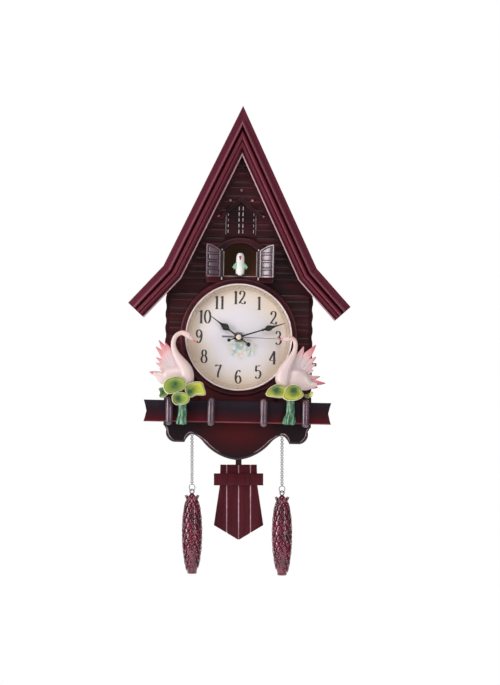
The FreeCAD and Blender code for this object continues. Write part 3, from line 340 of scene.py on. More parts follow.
def line(points):
    """Draw a chain of edges, each point pulled out of the one before it."""
    clear()
    ops.mesh.primitive_plane_add(size=MM, location=(0, 0, 0))
    editing()
    ops.mesh.merge(type="CENTER")
    ops.transform.translate(value=points[0])
    here = Vector(points[0])
    for point in points[1:]:
        step = Vector(point) - here
        ops.mesh.extrude_vertices_move(TRANSFORM_OT_translate={"value": step})
        here = Vector(point)
    ops.mesh.select_all(action="SELECT")


def drawn(outline, back, front, edge=0.0, rounds=4):
    """A board: its outline in X and Z is drawn, filled, and pulled from back to front.

    With an edge, the front rim is rounded by small insets that step forwards.
    """
    line([(x, back, z) for x, z in outline])
    ops.mesh.edge_face_add()
    ops.mesh.extrude_region_move(TRANSFORM_OT_translate={"value": (0, front + edge - back, 0)})
    rounded_rim(edge, rounds, -1.0)
    return done()


def rounded_rim(edge, rounds, direction):
    """Round the rim of the selected end face, stepping along Y."""
    if not edge:
        return
    for i in range(rounds):
        a = math.pi / 2 * i / rounds
        b = math.pi / 2 * (i + 1) / rounds
        ops.mesh.inset(thickness=edge * (math.cos(a) - math.cos(b)) + 1e-6, use_boundary=True)
        ops.transform.translate(value=(0, direction * edge * (math.sin(b) - math.sin(a)), 0))


def turned_on(points, centre, axis, steps=48):
    """A lathe shape: a profile of radius and height, spun about an axis along Y or Z."""
    cx, cy, cz = centre
    if axis == "Y":
        line([(cx + r, cy + h, cz) for r, h in points])
    else:
        line([(cx + r, cy, cz + h) for r, h in points])
    spin_axis = (0, 1, 0) if axis == "Y" else (0, 0, 1)
    ops.mesh.spin(steps=steps, angle=2 * math.pi, center=centre, axis=spin_axis)
    return done()


def arc(centre, radius, start, end, steps):
    """Points on a circle in X and Z, with angles in degrees from +X towards +Z."""
    cx, cz = centre
    result = []
    for i in range(steps + 1):
        a = math.radians(start + (end - start) * i / steps)
        result.append((cx + radius * math.cos(a), cz + radius * math.sin(a)))
    return result


# ---------------------------------------------------------------- roof
ROOF_APEX = (0.0, high("roof_board_right")[2])
ROOF_HALF_W = high("roof_board_right")[0]
MOULDING_BACK = high("roof_moulding_right")[1]
KINK_X = 93.0 * MM
KINK_Z = up(84.9)
EAVE_Z = up(39.1)
STEEP = math.atan2(KINK_X, ROOF_APEX[1] - KINK_Z)
FLAT = math.atan2(ROOF_HALF_W - KINK_X, KINK_Z - EAVE_Z)
# The moulding's section: millimetres in from its outer edge, and forward from its back
SECTION = (
    (0.0, 0.0), (0.0, 15.2), (0.5, 16.0), (1.6, 16.2), (4.4, 15.9), (7.4, 16.4), (8.2, 18.6),
           (9.0, 19.7),
    (9.8, 19.2), (10.4, 16.6), (10.9, 12.2), (11.9, 11.5), (12.7, 13.6), (13.2, 17.2), (14.4, 18.5),
    (15.8, 18.6), (16.8, 17.6), (17.2, 15.2), (17.9, 15.0), (18.6, 16.6), (19.8, 17.3),
           (21.2, 16.7),
    (22.1, 14.8), (22.7, 11.6), (23.9, 11.3), (24.6, 12.8), (25.3, 13.1), (25.8, 12.5), (25.8, 0.0),
)


def mitred(point, normal):
    """Cut the active piece through a point and keep the side that the normal points to."""
    editing()
    ops.mesh.select_all(action="SELECT")
    ops.mesh.bisect(plane_co=point, plane_no=normal, use_fill=True, clear_inner=True)
    return done()


def moulding(start, end, turn, cuts):
    """One length of moulding for the right slope, from a high point to a low one, with its mitres."""
    over = 30 * MM
    length = (Vector(end) - Vector(start)).length + 2 * over
    line([(-d * MM, MOULDING_BACK - h * MM, over) for d, h in SECTION])
    ops.mesh.edge_face_add()
    ops.mesh.extrude_region_move(TRANSFORM_OT_translate={"value": (0, 0, -length)})
    piece = done()
    piece.rotation_euler = (0, -turn, 0)
    piece.location = (start[0], 0, start[1])
    ops.object.transform_apply(location=True, rotation=True)
    for point, normal in cuts:
        mitred(point, normal)
    return softened(piece, 0.25, 2, 60)


def roof():
    bend = (STEEP + FLAT) / 2
    mitre = (-math.sin(bend), 0, math.cos(bend))
    kink = (KINK_X, 0, KINK_Z)
    across_end = (-math.sin(FLAT), 0, math.cos(FLAT))
    upper = moulding(ROOF_APEX, (KINK_X, KINK_Z), STEEP, [((0, 0, 0), (1, 0, 0)), (kink, mitre)])
    lower = moulding((KINK_X, KINK_Z), (ROOF_HALF_W, EAVE_Z), FLAT,
                     [(kink, [-v for v in mitre]), ((ROOF_HALF_W, 0, EAVE_Z), across_end)])
    for name, piece, turn, point in (("roof_moulding", upper, STEEP, ROOF_APEX),
                                     ("eave_moulding", lower, FLAT, (KINK_X, KINK_Z))):
        for side, sign in (("left", -1), ("right", 1)):
            copy = piece if sign > 0 else mirrored(piece)
            offset = sign * (point[0] * math.cos(turn) + point[1] * math.sin(turn))
            stain = roof_stain(f"{name}_stain_{side}", turn * sign, offset, -sign)
            settled(copy, f"{name}_{side}_wood", stain, "case", [f"{name}_{side}"], 50)
    for side, sign in (("left", -1), ("right", 1)):
        finish = board_stain(f"roof_board_stain_{side}", sign * STEEP)
        paint_node(f"roof_board_{side}", finish)


def board_stain(name, turn):
    f, fibre, tone = along(name, turn, (0.045, 0.012, 0.020), (0.120, 0.034, 0.052))
    return f.paint(Base_Color=tone, Roughness=0.66 - 0.2 * fibre, Normal=f.bump(fibre, 0.3, 0.0004))


def paint_node(name, finish):
    """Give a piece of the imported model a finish, with its own shape kept."""
    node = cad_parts[name]
    if not node.material_slots:
        node.data.materials.append(finish)
    for place in node.material_slots:
        place.material = finish


# ---------------------------------------------------------------- case
LOG_PITCH = 17.2
SIDING_FOOT = -85.0
COURSES = 20
LOG_BACK = PANEL_Y
CORNER_R = 5.2 * MM
DOOR_HALF_W = 19.6 * MM
SILL = up(74.4)
SPRING = SILL + 29.8 * MM
ARCH_RISE = 9.0 * MM
FRAME_W = 1.2 * MM
# A log's section: height above its foot as a share of the pitch, and how far it stands forward, in mm
LOG_SECTION = ((0.02, 1.2), (0.05, 1.45), (0.13, 1.8), (0.26, 2.1), (0.42, 2.25), (0.52, 2.2),
               (0.545, 1.9),
               (0.60, 1.85), (0.66, 2.1), (0.78, 2.0), (0.90, 1.7), (0.96, 1.4), (0.985, 1.2))


def roof_half_width(z, inset):
    """How far the case may reach at this height, a distance inside the roof's outer line."""
    slope = ROOF_APEX[1] - inset / math.sin(STEEP)
    return (slope - z) * math.tan(STEEP)


def log_line(foot):
    points = [(LOG_BACK + 1.5 * MM, foot + LOG_SECTION[0][0] * LOG_PITCH * MM)]
    points += [(LOG_BACK - rise * MM, foot + share * LOG_PITCH * MM) for share, rise in LOG_SECTION]
    points.append((LOG_BACK + 1.5 * MM, foot + LOG_SECTION[-1][0] * LOG_PITCH * MM))
    return points


def straight_log(foot, x0, x1):
    line([(x0, y, z) for y, z in log_line(foot)])
    ops.mesh.edge_face_add()
    ops.mesh.extrude_region_move(TRANSFORM_OT_translate={"value": (x1 - x0, 0, 0)})
    return done()


def wrapped_log(foot):
    """Half a course from the middle round the corner to the back of the side."""
    centre_x = CASE_HALF_W - CORNER_R
    line([(0.0, y, z) for y, z in log_line(foot)])
    ops.mesh.edge_face_add()
    ops.mesh.extrude_region_move(TRANSFORM_OT_translate={"value": (centre_x, 0, 0)})
    centre = (centre_x, LOG_BACK + CORNER_R - 3.0 * MM, 0)
    ops.mesh.spin(steps=6, angle=math.pi / 2, center=centre, axis=(0, 0, 1))
    ops.mesh.extrude_region_move(TRANSFORM_OT_translate={"value": (0, -BACK_T - centre[1], 0)})
    return done()


BACK_T = high("back_panel")[1] - low("back_panel")[1]


def siding():
    """Every log course: wrapped round the corners under the eaves, straight in the gable."""
    pieces = []
    door_top = SPRING + ARCH_RISE
    for i in range(COURSES):
        foot = up(SIDING_FOOT + i * LOG_PITCH)
        top = foot + LOG_PITCH * MM
        half = roof_half_width(top, 7.0 * MM)
        wraps = top < up(77.0)
        if wraps:
            right = wrapped_log(foot)
            pieces += [right, mirrored(right)]
        else:
            reach = min(half, CASE_HALF_W - 1.0 * MM)
            if reach < 6 * MM:
                continue
            hole = DOOR_HALF_W if foot < door_top and top > SILL else 0.0
            if hole:
                right = straight_log(foot, hole, reach)
                pieces += [right, mirrored(right)]
            else:
                pieces.append(straight_log(foot, -reach, reach))
    logs = joined(pieces)
    punch = turned_on([(0, -0.02), (65.8 * MM, -0.02), (65.8 * MM, 0.02), (0, 0.02)],
                      (0, LOG_BACK, DIAL_Z), "Y", 96)
    applied(logs, "BOOLEAN", operation="DIFFERENCE", object=punch, solver="EXACT")
    bpy.data.objects.remove(punch)
    return settled(logs, "log_siding", log_finish(), "case", ["front_panel"], 35)


def board_half():
    """The board behind the logs, right of the middle, with half of the doorway."""
    inset = 8.0 * MM
    arch = arch_points(0.0)
    right_arch = [point for point in arch if point[0] >= -1e-9]
    foot, w = low("front_panel")[2], CASE_HALF_W - 1.2 * MM
    shoulder = ROOF_APEX[1] - inset / math.sin(STEEP) - w / math.tan(STEEP)
    outline = [(0, foot), (w, foot), (w, shoulder), (0, ROOF_APEX[1] - inset / math.sin(STEEP))]
    outline += list(reversed(right_arch)) + [(DOOR_HALF_W, SILL), (0, SILL)]
    return drawn(outline, high("front_panel")[1], LOG_BACK)


def arch_points(grow, steps=20):
    """The doorway's curved head from right to left, larger by grow."""
    w = DOOR_HALF_W + grow
    rise = ARCH_RISE + grow
    radius = (w * w + rise * rise) / (2 * rise)
    centre = (0.0, SPRING + rise - radius)
    half_angle = math.degrees(math.asin(w / radius))
    return arc(centre, radius, 90 - half_angle, 90 + half_angle, steps)


def case_boards():
    right = board_half()
    board = joined([right, mirrored(right)])
    settled(board, "front_board", log_finish(), "case")
    back = Finish("back_board")
    fibre = back.noise(1.0, 5.0, back.moved(scale=(220, 200, 12)))
    back.paint(Base_Color=back.ramp(fibre, (0.3, (0.10, 0.055, 0.032)), (0.7, (0.20, 0.12, 0.075))),
               Roughness=0.75 - 0.15 * fibre, Normal=back.bump(fibre, 0.3, 0.0004))
    for name in ("back_panel", "case_floor"):
        paint_node(name, back.made)
    for name in ("case_side_left", "case_side_right"):
        paint_node(name, log_finish())


# ---------------------------------------------------------------- dial
RAIL_LOW, RAIL_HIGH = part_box("balcony_rail")
PAPER_Y = low("dial_plate")[1]
TRACK_R = 60.8
NUMERAL_R = 48.3
NUMERAL_H = 16.6


def red_boss_finish():
    """Warm dark red paint of the dial's seat, clouded and streaked."""
    f = Finish("boss_red", Coat_Roughness=0.1, IOR=1.3)
    cloud = f.noise(22.0, 3.0)
    streak = f.noise(1.0, 4.0, f.moved(scale=(14, 60, 240)))
    tone = f.ramp(cloud * 0.5 + streak * 0.5, (0.36, (0.030, 0.005, 0.008)),
                  (0.62, (0.085, 0.009, 0.013)))
    return f.paint(Base_Color=tone, Roughness=0.34 + 0.14 * cloud, Coat_Weight=0.22 - 0.15 * streak,
                   Normal=f.bump(streak, 0.12, 0.0004))


def dial_seat():
    """The round boss that frames the dial, and the smooth apron of board from it down to the rail."""
    edge = [(65.6, 5.2), (66.2, 5.8), (67.6, 6.0), (70.0, 5.9), (71.3, 5.2), (72.0, 3.9),
            (72.2, 0.0)]
    ring = turned_on([(r * MM, -h * MM) for r, h in [(65.6, 0.0)] + edge], (0, PANEL_Y, DIAL_Z),
                     "Y", 96)
    half = 45.0 * MM
    foot = up(-104.0)
    edge_angle = math.degrees(math.acos(half / (67.0 * MM)))
    under = arc((0, DIAL_Z), 67.0 * MM, -edge_angle, edge_angle - 180, 24)
    zone = drawn([(-half, foot), (half, foot)] + under, PANEL_Y, PANEL_Y - 3.4 * MM, 0.8 * MM)
    band = drawn([(-41 * MM, up(66.0)), (41 * MM, up(66.0)), (41 * MM, up(73.8)),
                  (-41 * MM, up(73.8))],
                 PANEL_Y, PANEL_Y - 4.4 * MM, 1.6 * MM)
    settled(joined([ring, zone, band]), "dial_boss", red_boss_finish(), "case",
            smooth=50)


def paper_finish():
    f = Finish("dial_paper", Coat_Roughness=0.3)
    x, z = f.axis("X"), f.axis("Z") - DIAL_Z
    away = (x * x + z * z) ** 0.5 / DIAL_R
    cloud = f.noise(38.0, 4.0)
    aged = f.ramp(away + (cloud - 0.5) * 0.30, (0.45, (0.80, 0.755, 0.80)),
                  (0.70, (0.80, 0.715, 0.66)),
                  (0.92, (0.765, 0.625, 0.48)))
    # Pale flowers under the middle of the dial
    spot = (((x - 4 * MM) / (22 * MM)) ** 2.0 + ((z + 14 * MM) / (15 * MM)) ** 2.0) ** 0.5
    petal = f.noise(1.0, 5.0, f.moved(scale=(230, 230, 230)), 0.62)
    hue = f.noise(110.0, 1.0)
    flower = f.ramp(hue, (0.38, (0.34, 0.47, 0.48)), (0.50, (0.52, 0.62, 0.50)),
                    (0.58, (0.78, 0.66, 0.46)),
                    (0.68, (0.72, 0.47, 0.54)))
    shown = f.ramp(petal, (0.42, (0, 0, 0)), (0.53, (1, 1, 1))) * (1.0 - spot).clamped() * 2.2
    return f.paint(Base_Color=f.mix(shown.clamped(), aged, flower), Roughness=0.55 + 0.1 * cloud,
                   Normal=f.bump(f.noise(900.0, 2.0), 0.05, 0.0002))


def ink_finish():
    f = Finish("dial_ink")
    worn = f.noise(400.0, 2.0)
    return f.paint(Base_Color=f.ramp(worn, (0.3, (0.012, 0.007, 0.007)),
                                     (0.7, (0.034, 0.020, 0.018))),
                   Roughness=0.5 + 0.1 * worn)


def smooth_line(points, steps=7):
    """Points along a smooth curve through these points."""
    ends = [points[0]] + list(points) + [points[-1]]
    result = []
    for i in range(len(points) - 1):
        a, b, c, d = (Vector(p) for p in ends[i:i + 4])
        for k in range(steps):
            t = k / steps
            result.append(0.5 * (2 * b + (c - a) * t + (2 * a - 5 * b + 4 * c - d) * t * t
                                 + (3 * b - 3 * c + d - a) * t ** 3))
    return result + [Vector(points[-1])]


def oval(cx, cz, rx, rz):
    return [(cx + rx * math.cos(2 * math.pi * i / 24), cz + rz * math.sin(2 * math.pi * i / 24))
            for i in range(25)]


# Pen strokes of each figure in a box one high; a stroke is thick where it runs up and down
FIGURES = {
    "0": [oval(0.24, 0.5, 0.20, 0.47)],
    "1": [[(0.24, 0.03), (0.24, 0.5), (0.24, 0.97)], [(0.23, 0.95), (0.15, 0.88), (0.10, 0.86)],
          [(0.11, 0.02), (0.37, 0.02)]],
    "2": [[(0.10, 0.72), (0.12, 0.90), (0.26, 0.98), (0.41, 0.88), (0.41, 0.68), (0.30, 0.46),
           (0.15, 0.24),
           (0.06, 0.07)], [(0.06, 0.07), (0.16, 0.12), (0.32, 0.05), (0.44, 0.06), (0.47, 0.22)]],
    "3": [[(0.08, 0.80), (0.16, 0.95), (0.30, 0.96), (0.39, 0.80), (0.33, 0.60), (0.18, 0.53)],
          [(0.18, 0.53), (0.36, 0.50), (0.45, 0.28), (0.36, 0.06), (0.20, 0.02), (0.08, 0.13)]],
    "4": [[(0.36, 0.97), (0.20, 0.62), (0.03, 0.29)], [(0.03, 0.28), (0.50, 0.28)],
          [(0.37, 0.97), (0.37, 0.5), (0.37, 0.03)], [(0.26, 0.02), (0.48, 0.02)]],
    "5": [[(0.14, 0.95), (0.28, 0.92), (0.43, 0.97)], [(0.13, 0.94), (0.11, 0.52)],
          [(0.11, 0.52), (0.24, 0.61), (0.41, 0.52), (0.45, 0.30), (0.35, 0.06), (0.18, 0.02),
           (0.08, 0.14)]],
    "6": [[(0.40, 0.86), (0.30, 0.97), (0.15, 0.86), (0.06, 0.52), (0.09, 0.18), (0.24, 0.02),
           (0.40, 0.13),
           (0.42, 0.36), (0.31, 0.56), (0.17, 0.52), (0.08, 0.36)]],
    "7": [[(0.05, 0.84), (0.10, 0.95), (0.26, 0.91), (0.45, 0.96)],
          [(0.45, 0.96), (0.32, 0.62), (0.23, 0.30), (0.23, 0.03)]],
    "8": [oval(0.25, 0.755, 0.145, 0.215), oval(0.25, 0.285, 0.19, 0.265)],
}
FIGURES["9"] = [[(0.48 - x, 1.0 - z) for x, z in stroke] for stroke in FIGURES["6"]]
BALLS = {"2": [(0.115, 0.73)], "3": [(0.10, 0.80), (0.10, 0.15)], "5": [(0.10, 0.16)],
         "6": [(0.385, 0.85)],
         "9": [(0.095, 0.15)]}


def figure_curve(figures, middle, height):
    """Figures side by side as flat pen strokes, wide upright and thin across."""
    sheet = bpy.data.curves.new("strokes", "CURVE")
    sheet.dimensions = "3D"
    sheet.bevel_depth = 1.0
    sheet.bevel_resolution = 1
    sheet.use_fill_caps = True
    thick, thin = 0.082 * height, 0.024 * height
    spans = []
    for figure in figures:
        across = [point[0] for stroke in FIGURES[figure] for point in stroke]
        spans.append((min(across) - 0.04, max(across) + 0.04))
    start = middle[0] - (sum(b - a for a, b in spans) + 0.05 * (len(spans) - 1)) * height / 2
    for figure, (left, right) in zip(figures, spans):
        shift = start - left * height
        start += (right - left + 0.05) * height
        for stroke in FIGURES[figure]:
            closed = stroke[0] == stroke[-1]
            points = [Vector(p) for p in stroke] if closed else smooth_line(stroke)
            spline = sheet.splines.new("POLY")
            spline.points.add(len(points) - 1)
            for i, point in enumerate(points):
                way = (points[min(i + 1, len(points) - 1)] - points[max(i - 1, 0)]).normalized()
                spline.points[i].co = (shift + point[0] * height, 0,
                                       middle[1] + (point[1] - 0.5) * height, 1)
                spline.points[i].radius = thin + (thick - thin) * abs(way[1]) ** 1.3
        for ball in BALLS.get(figure, []):
            spline = sheet.splines.new("POLY")
            spline.points.add(1)
            for i, half in enumerate((-0.012, 0.012)):
                spline.points[i].co = (shift + (ball[0] + half) * height, 0,
                                       middle[1] + (ball[1] - 0.5) * height, 1)
                spline.points[i].radius = 0.060 * height
    made = bpy.data.objects.new("strokes", sheet)
    bpy.context.collection.objects.link(made)
    clear()
    made.select_set(True)
    bpy.context.view_layer.objects.active = made
    ops.object.convert(target="MESH")
    return bpy.context.object


def dial_face():
    plate = turned_on([(r * MM, h * MM) for r,
                       h in ((0, 0), (64.6, 0), (65.0, 0.3), (65.0, 1.0), (0, 1.0))],
                      (0, PAPER_Y, DIAL_Z), "Y", 96)
    settled(plate, "dial_paper_disc", paper_finish(), "case", ["dial_plate"])
    rim = turned_on([(r * MM, -h * MM) for r, h in ((65.15, 0), (65.15, 8.6), (64.8, 9.3), (64.2,
            9.5),
                                                      (63.6, 9.2), (63.2, 8.4), (63.1, 0))],
                    (0, PAPER_Y, DIAL_Z), "Y", 96)
    pearl = Finish("rim_pearl", Coat_Roughness=0.1)
    cloud = pearl.noise(60.0, 3.0)
    pearl.paint(Base_Color=pearl.ramp(cloud, (0.35, (0.72, 0.56, 0.56)),
                                      (0.65, (0.86, 0.75, 0.75))),
                Roughness=0.25 + 0.1 * cloud, Coat_Weight=0.4)
    settled(rim, "dial_rim", pearl.made, "case")
    ink = ink_finish()
    inked = []
    for hour in range(1, 13):
        a = math.radians(hour * 30)
        middle = (NUMERAL_R * math.sin(a), NUMERAL_R * math.cos(a))
        inked.append(figure_curve(str(hour), middle, NUMERAL_H))
    numerals = joined(inked)
    numerals.scale = (MM, 0.08 * MM, MM)
    numerals.location = (0, PAPER_Y - 0.02 * MM, DIAL_Z)
    settled(numerals, "dial_numerals", ink, "case")
    marks = []
    for minute in range(60):
        long, wide = (1.1, 1.1) if minute % 5 == 0 else (1.5, 0.28)
        mark = drawn([(-wide * MM / 2, (TRACK_R - long / 2) * MM),
                      (wide * MM / 2, (TRACK_R - long / 2) * MM),
                      (wide * MM / 2, (TRACK_R + long / 2) * MM),
                      (-wide * MM / 2, (TRACK_R + long / 2) * MM)],
                     0.0, -0.06 * MM)
        mark.rotation_euler = (0, math.radians(minute * 6), 0)
        marks.append(mark)
    for radius in (58.9, 62.5):
        ring = turned_on([((radius + d) * MM, -h * MM) for d,
                          h in ((0, 0), (0, 0.06), (0.16, 0.06), (0.16, 0))],
                         (0, 0, 0), "Y", 96)
        marks.append(ring)
    track = joined(marks)
    track.location = (0, PAPER_Y, DIAL_Z)
    faint = Finish("track_ink")
    worn = faint.noise(500.0, 2.0)
    faint.paint(Base_Color=faint.ramp(worn, (0.3, (0.20, 0.13, 0.10)), (0.7, (0.36, 0.27, 0.22))),
                Roughness=0.5 + 0.1 * worn)
    settled(track, "minute_track", faint.made, "case")
    glass = Finish("clear_glass", Roughness=0.03, IOR=1.45)
    haze = glass.noise(20.0, 2.0)
    paint_node("dial_glass", glass.paint(Base_Color=glass.ramp(haze, (0.4, (0.95, 0.95, 0.97)),
                                                              (0.6, (1, 1, 1))),
                                         Alpha=0.012 + 0.01 * haze))


# ---------------------------------------------------------------- hands
def blade(profile, node, turn, name, finish, body, replaced, discs=()):
    """A flat hand: half widths at distances from the centre, mirrored, raised along its middle."""
    y0, y1 = low(node)[1], high(node)[1]
    outline = [(w * MM, d * MM) for d, w in profile] + [(-w * MM, d * MM) for d,
                                                        w in reversed(profile)
                                                        if w > 1e-6]
    pieces = [drawn(outline, y1 - 0.05 * MM, y0, 0.12 * MM, 2)]
    for distance, radius in discs:
        pieces.append(turned_on([(0, -0.3 * MM), (radius * MM - 0.2 * MM, -0.3 * MM),
                                 (radius * MM, -0.1 * MM),
                                 (radius * MM, 0.25 * MM), (0, 0.25 * MM)],
                                (0, (y0 + y1) / 2, distance * MM), "Y", 28))
    hand = joined(pieces)
    hand.rotation_euler = (0, math.radians(turn), 0)
    hand.location = (0, 0, DIAL_Z)
    return settled(hand, name, finish, body, replaced)


def hands():
    black_paint = Finish("hand_black", IOR=1.15)
    speck = black_paint.noise(200.0, 3.0)
    black = black_paint.paint(Base_Color=black_paint.ramp(speck, (0.35, (0.003, 0.003, 0.004)),
                                                          (0.68, (0.007, 0.006, 0.007))),
                              Roughness=0.6 + 0.1 * speck)
    grey = gloss("hand_grey", (0.10, 0.10, 0.11), (0.17, 0.165, 0.17), 0.35, 200.0, 0.1)
    blade([(-14.5, 0.75), (-6, 0.8), (-3.6, 2.2), (0, 3.3), (3.6, 2.2), (6, 0.95), (13.5, 0.9),
           (15.5, 1.7),
           (18.0, 3.6), (20.2, 4.35), (22.0, 4.0), (24.6, 2.5), (27.5, 1.3), (31, 0.8), (40, 0.5),
           (43.0, 0.15)],
          "hour_hand", 306, "hour_hand_blade", black, "hour_hand", ["hour_hand"],
          [(-14.8, 2.6)])
    blade([(-12.2, 0.7), (-6, 0.75), (-3.4, 1.8), (0, 2.8), (3.4, 1.8), (6, 0.9), (28.5, 0.8),
           (29.7, 1.3),
           (31.0, 1.55), (32.2, 1.1), (33.4, 1.4), (35.6, 3.0), (37.8, 3.65), (39.8, 3.3),
           (42.6, 2.0),
           (45.6, 1.2), (50, 0.75), (57, 0.45), (59.3, 0.15)],
          "minute_hand", 72.3, "minute_hand_blade", black, "minute_hand",
          ["minute_hand"],
          [(-12.5, 2.2)])
    blade([(-20.5, 1.15), (-8.0, 1.2), (-6.5, 0.55), (-2, 0.5), (20, 0.42), (52.0, 0.30)],
          "second_hand", 91.5, "second_hand_blade", grey, "second_hand",
          ["second_hand"])
    y = low("second_hand")[1]
    cap = turned_on([(0, -1.0), (1.6, -0.95), (2.7, -0.6), (3.2, 0.0), (3.2, 0.5), (0, 0.5)],
                    (0, 0, 0), "Y", 32)
    cap.scale = (MM, MM, MM)
    cap.location = (0, y, DIAL_Z)
    gold = gloss("cap_gold", (0.72, 0.56, 0.36), (0.90, 0.78, 0.60), 0.3, 120.0, 0.3)
    settled(cap, "hand_cap", gold, "second_hand")
    for node, metal in (("hour_tube", gold), ("minute_arbor", gold), ("second_arbor", gold)):
        paint_node(node, metal)


# ---------------------------------------------------------------- doorway, shutters and bird
HINGE_X = DOOR_HALF_W + 2.7 * MM
HINGE_Y = PANEL_Y - 6.0 * MM
LEAF_FOOT = SILL - 1.6 * MM
LEAF_HEEL = SPRING + 1.0 * MM
LEAF_TIP = SPRING + ARCH_RISE
LEAF_T = 2.4 * MM
SHUTTER_OPEN = math.radians(150)


def halves(outline, back, front, edge=0.0, rounds=3):
    """A board drawn on the right and mirrored to the left."""
    right = drawn(outline, back, front, edge, rounds)
    return [right, mirrored(right)]


def whole(outline, back, front, edge=0.0, rounds=3):
    """A board in one piece, its right half drawn from and to the middle line."""
    ring = list(outline) + [(-x, z) for x, z in reversed(outline) if x > 1e-6]
    return drawn(ring, back, front, edge, rounds)


def right_half(points):
    return [(max(x, 0.0), z) for x, z in points if x > -1e-6]


def doorway():
    sill = SILL - FRAME_W
    frame_outline = [(DOOR_HALF_W, SPRING), (DOOR_HALF_W + FRAME_W, SPRING),
                     (DOOR_HALF_W + FRAME_W, sill),
                     (0, sill), (0, SILL), (DOOR_HALF_W, SILL)]
    trim = joined(halves(frame_outline, PANEL_Y + 2.0 * MM, PANEL_Y - 3.2 * MM, 0.35 * MM, 2))
    # The thin pale frame round the doorway is painted highlight along the opening's bevelled edge
    door_edge_highlight = gloss("door_line", (0.42, 0.30, 0.31), (0.62, 0.48, 0.48), 0.3, 90.0, 0.4)
    settled(trim, "door_frame_line", door_edge_highlight, "case", ["door_surround"])
    brow_top = arc_through((29.5 * MM, up(109.0)), (0.0, up(121.0)), 18)
    brow_low = right_half(arch_points(FRAME_W + 0.1 * MM))
    edge = [point for point in brow_low if point[1] > SPRING + 0.5 * MM]
    outline = [(0, up(121.0))] + brow_top[1:] + [(28.0 * MM, up(106.0)),
                                                 (22.0 * MM, up(105.4))] + edge
    brow = whole(outline, PANEL_Y, PANEL_Y - 5.4 * MM, 1.5 * MM, 4)
    settled(brow, "door_brow", trim_finish(), "case", smooth=55)


def arc_through(side, top, steps):
    """Points from the top of an arc down to its side, for an arc whose middle is on the centre line."""
    half, rise = side[0], top[1] - side[1]
    radius = (half * half + rise * rise) / (2 * rise)
    sweep = math.degrees(math.asin(half / radius))
    return arc((0.0, top[1] - radius), radius, 90, 90 - sweep, steps)


def trim_finish():
    f = Finish("dark_trim", Coat_Roughness=0.08, IOR=1.3)
    cloud = f.noise(34.0, 3.0)
    tone = f.ramp(cloud, (0.35, (0.016, 0.005, 0.007)), (0.68, (0.050, 0.010, 0.014)))
    return f.paint(Base_Color=tone, Roughness=0.30 + 0.12 * cloud, Coat_Weight=0.3 - 0.15 * cloud,
                   Normal=f.bump(f.noise(300.0, 2.0), 0.1, 0.0003))


def leaf_top(x):
    """The curved top of a shutter: low at the hinge, high at the free edge."""
    heel, tip = HINGE_X - 2.0 * MM, 0.3 * MM
    t = (heel - x) / (heel - tip)
    return LEAF_HEEL + (LEAF_TIP - LEAF_HEEL) * math.sin(t * math.pi / 2) ** 0.9


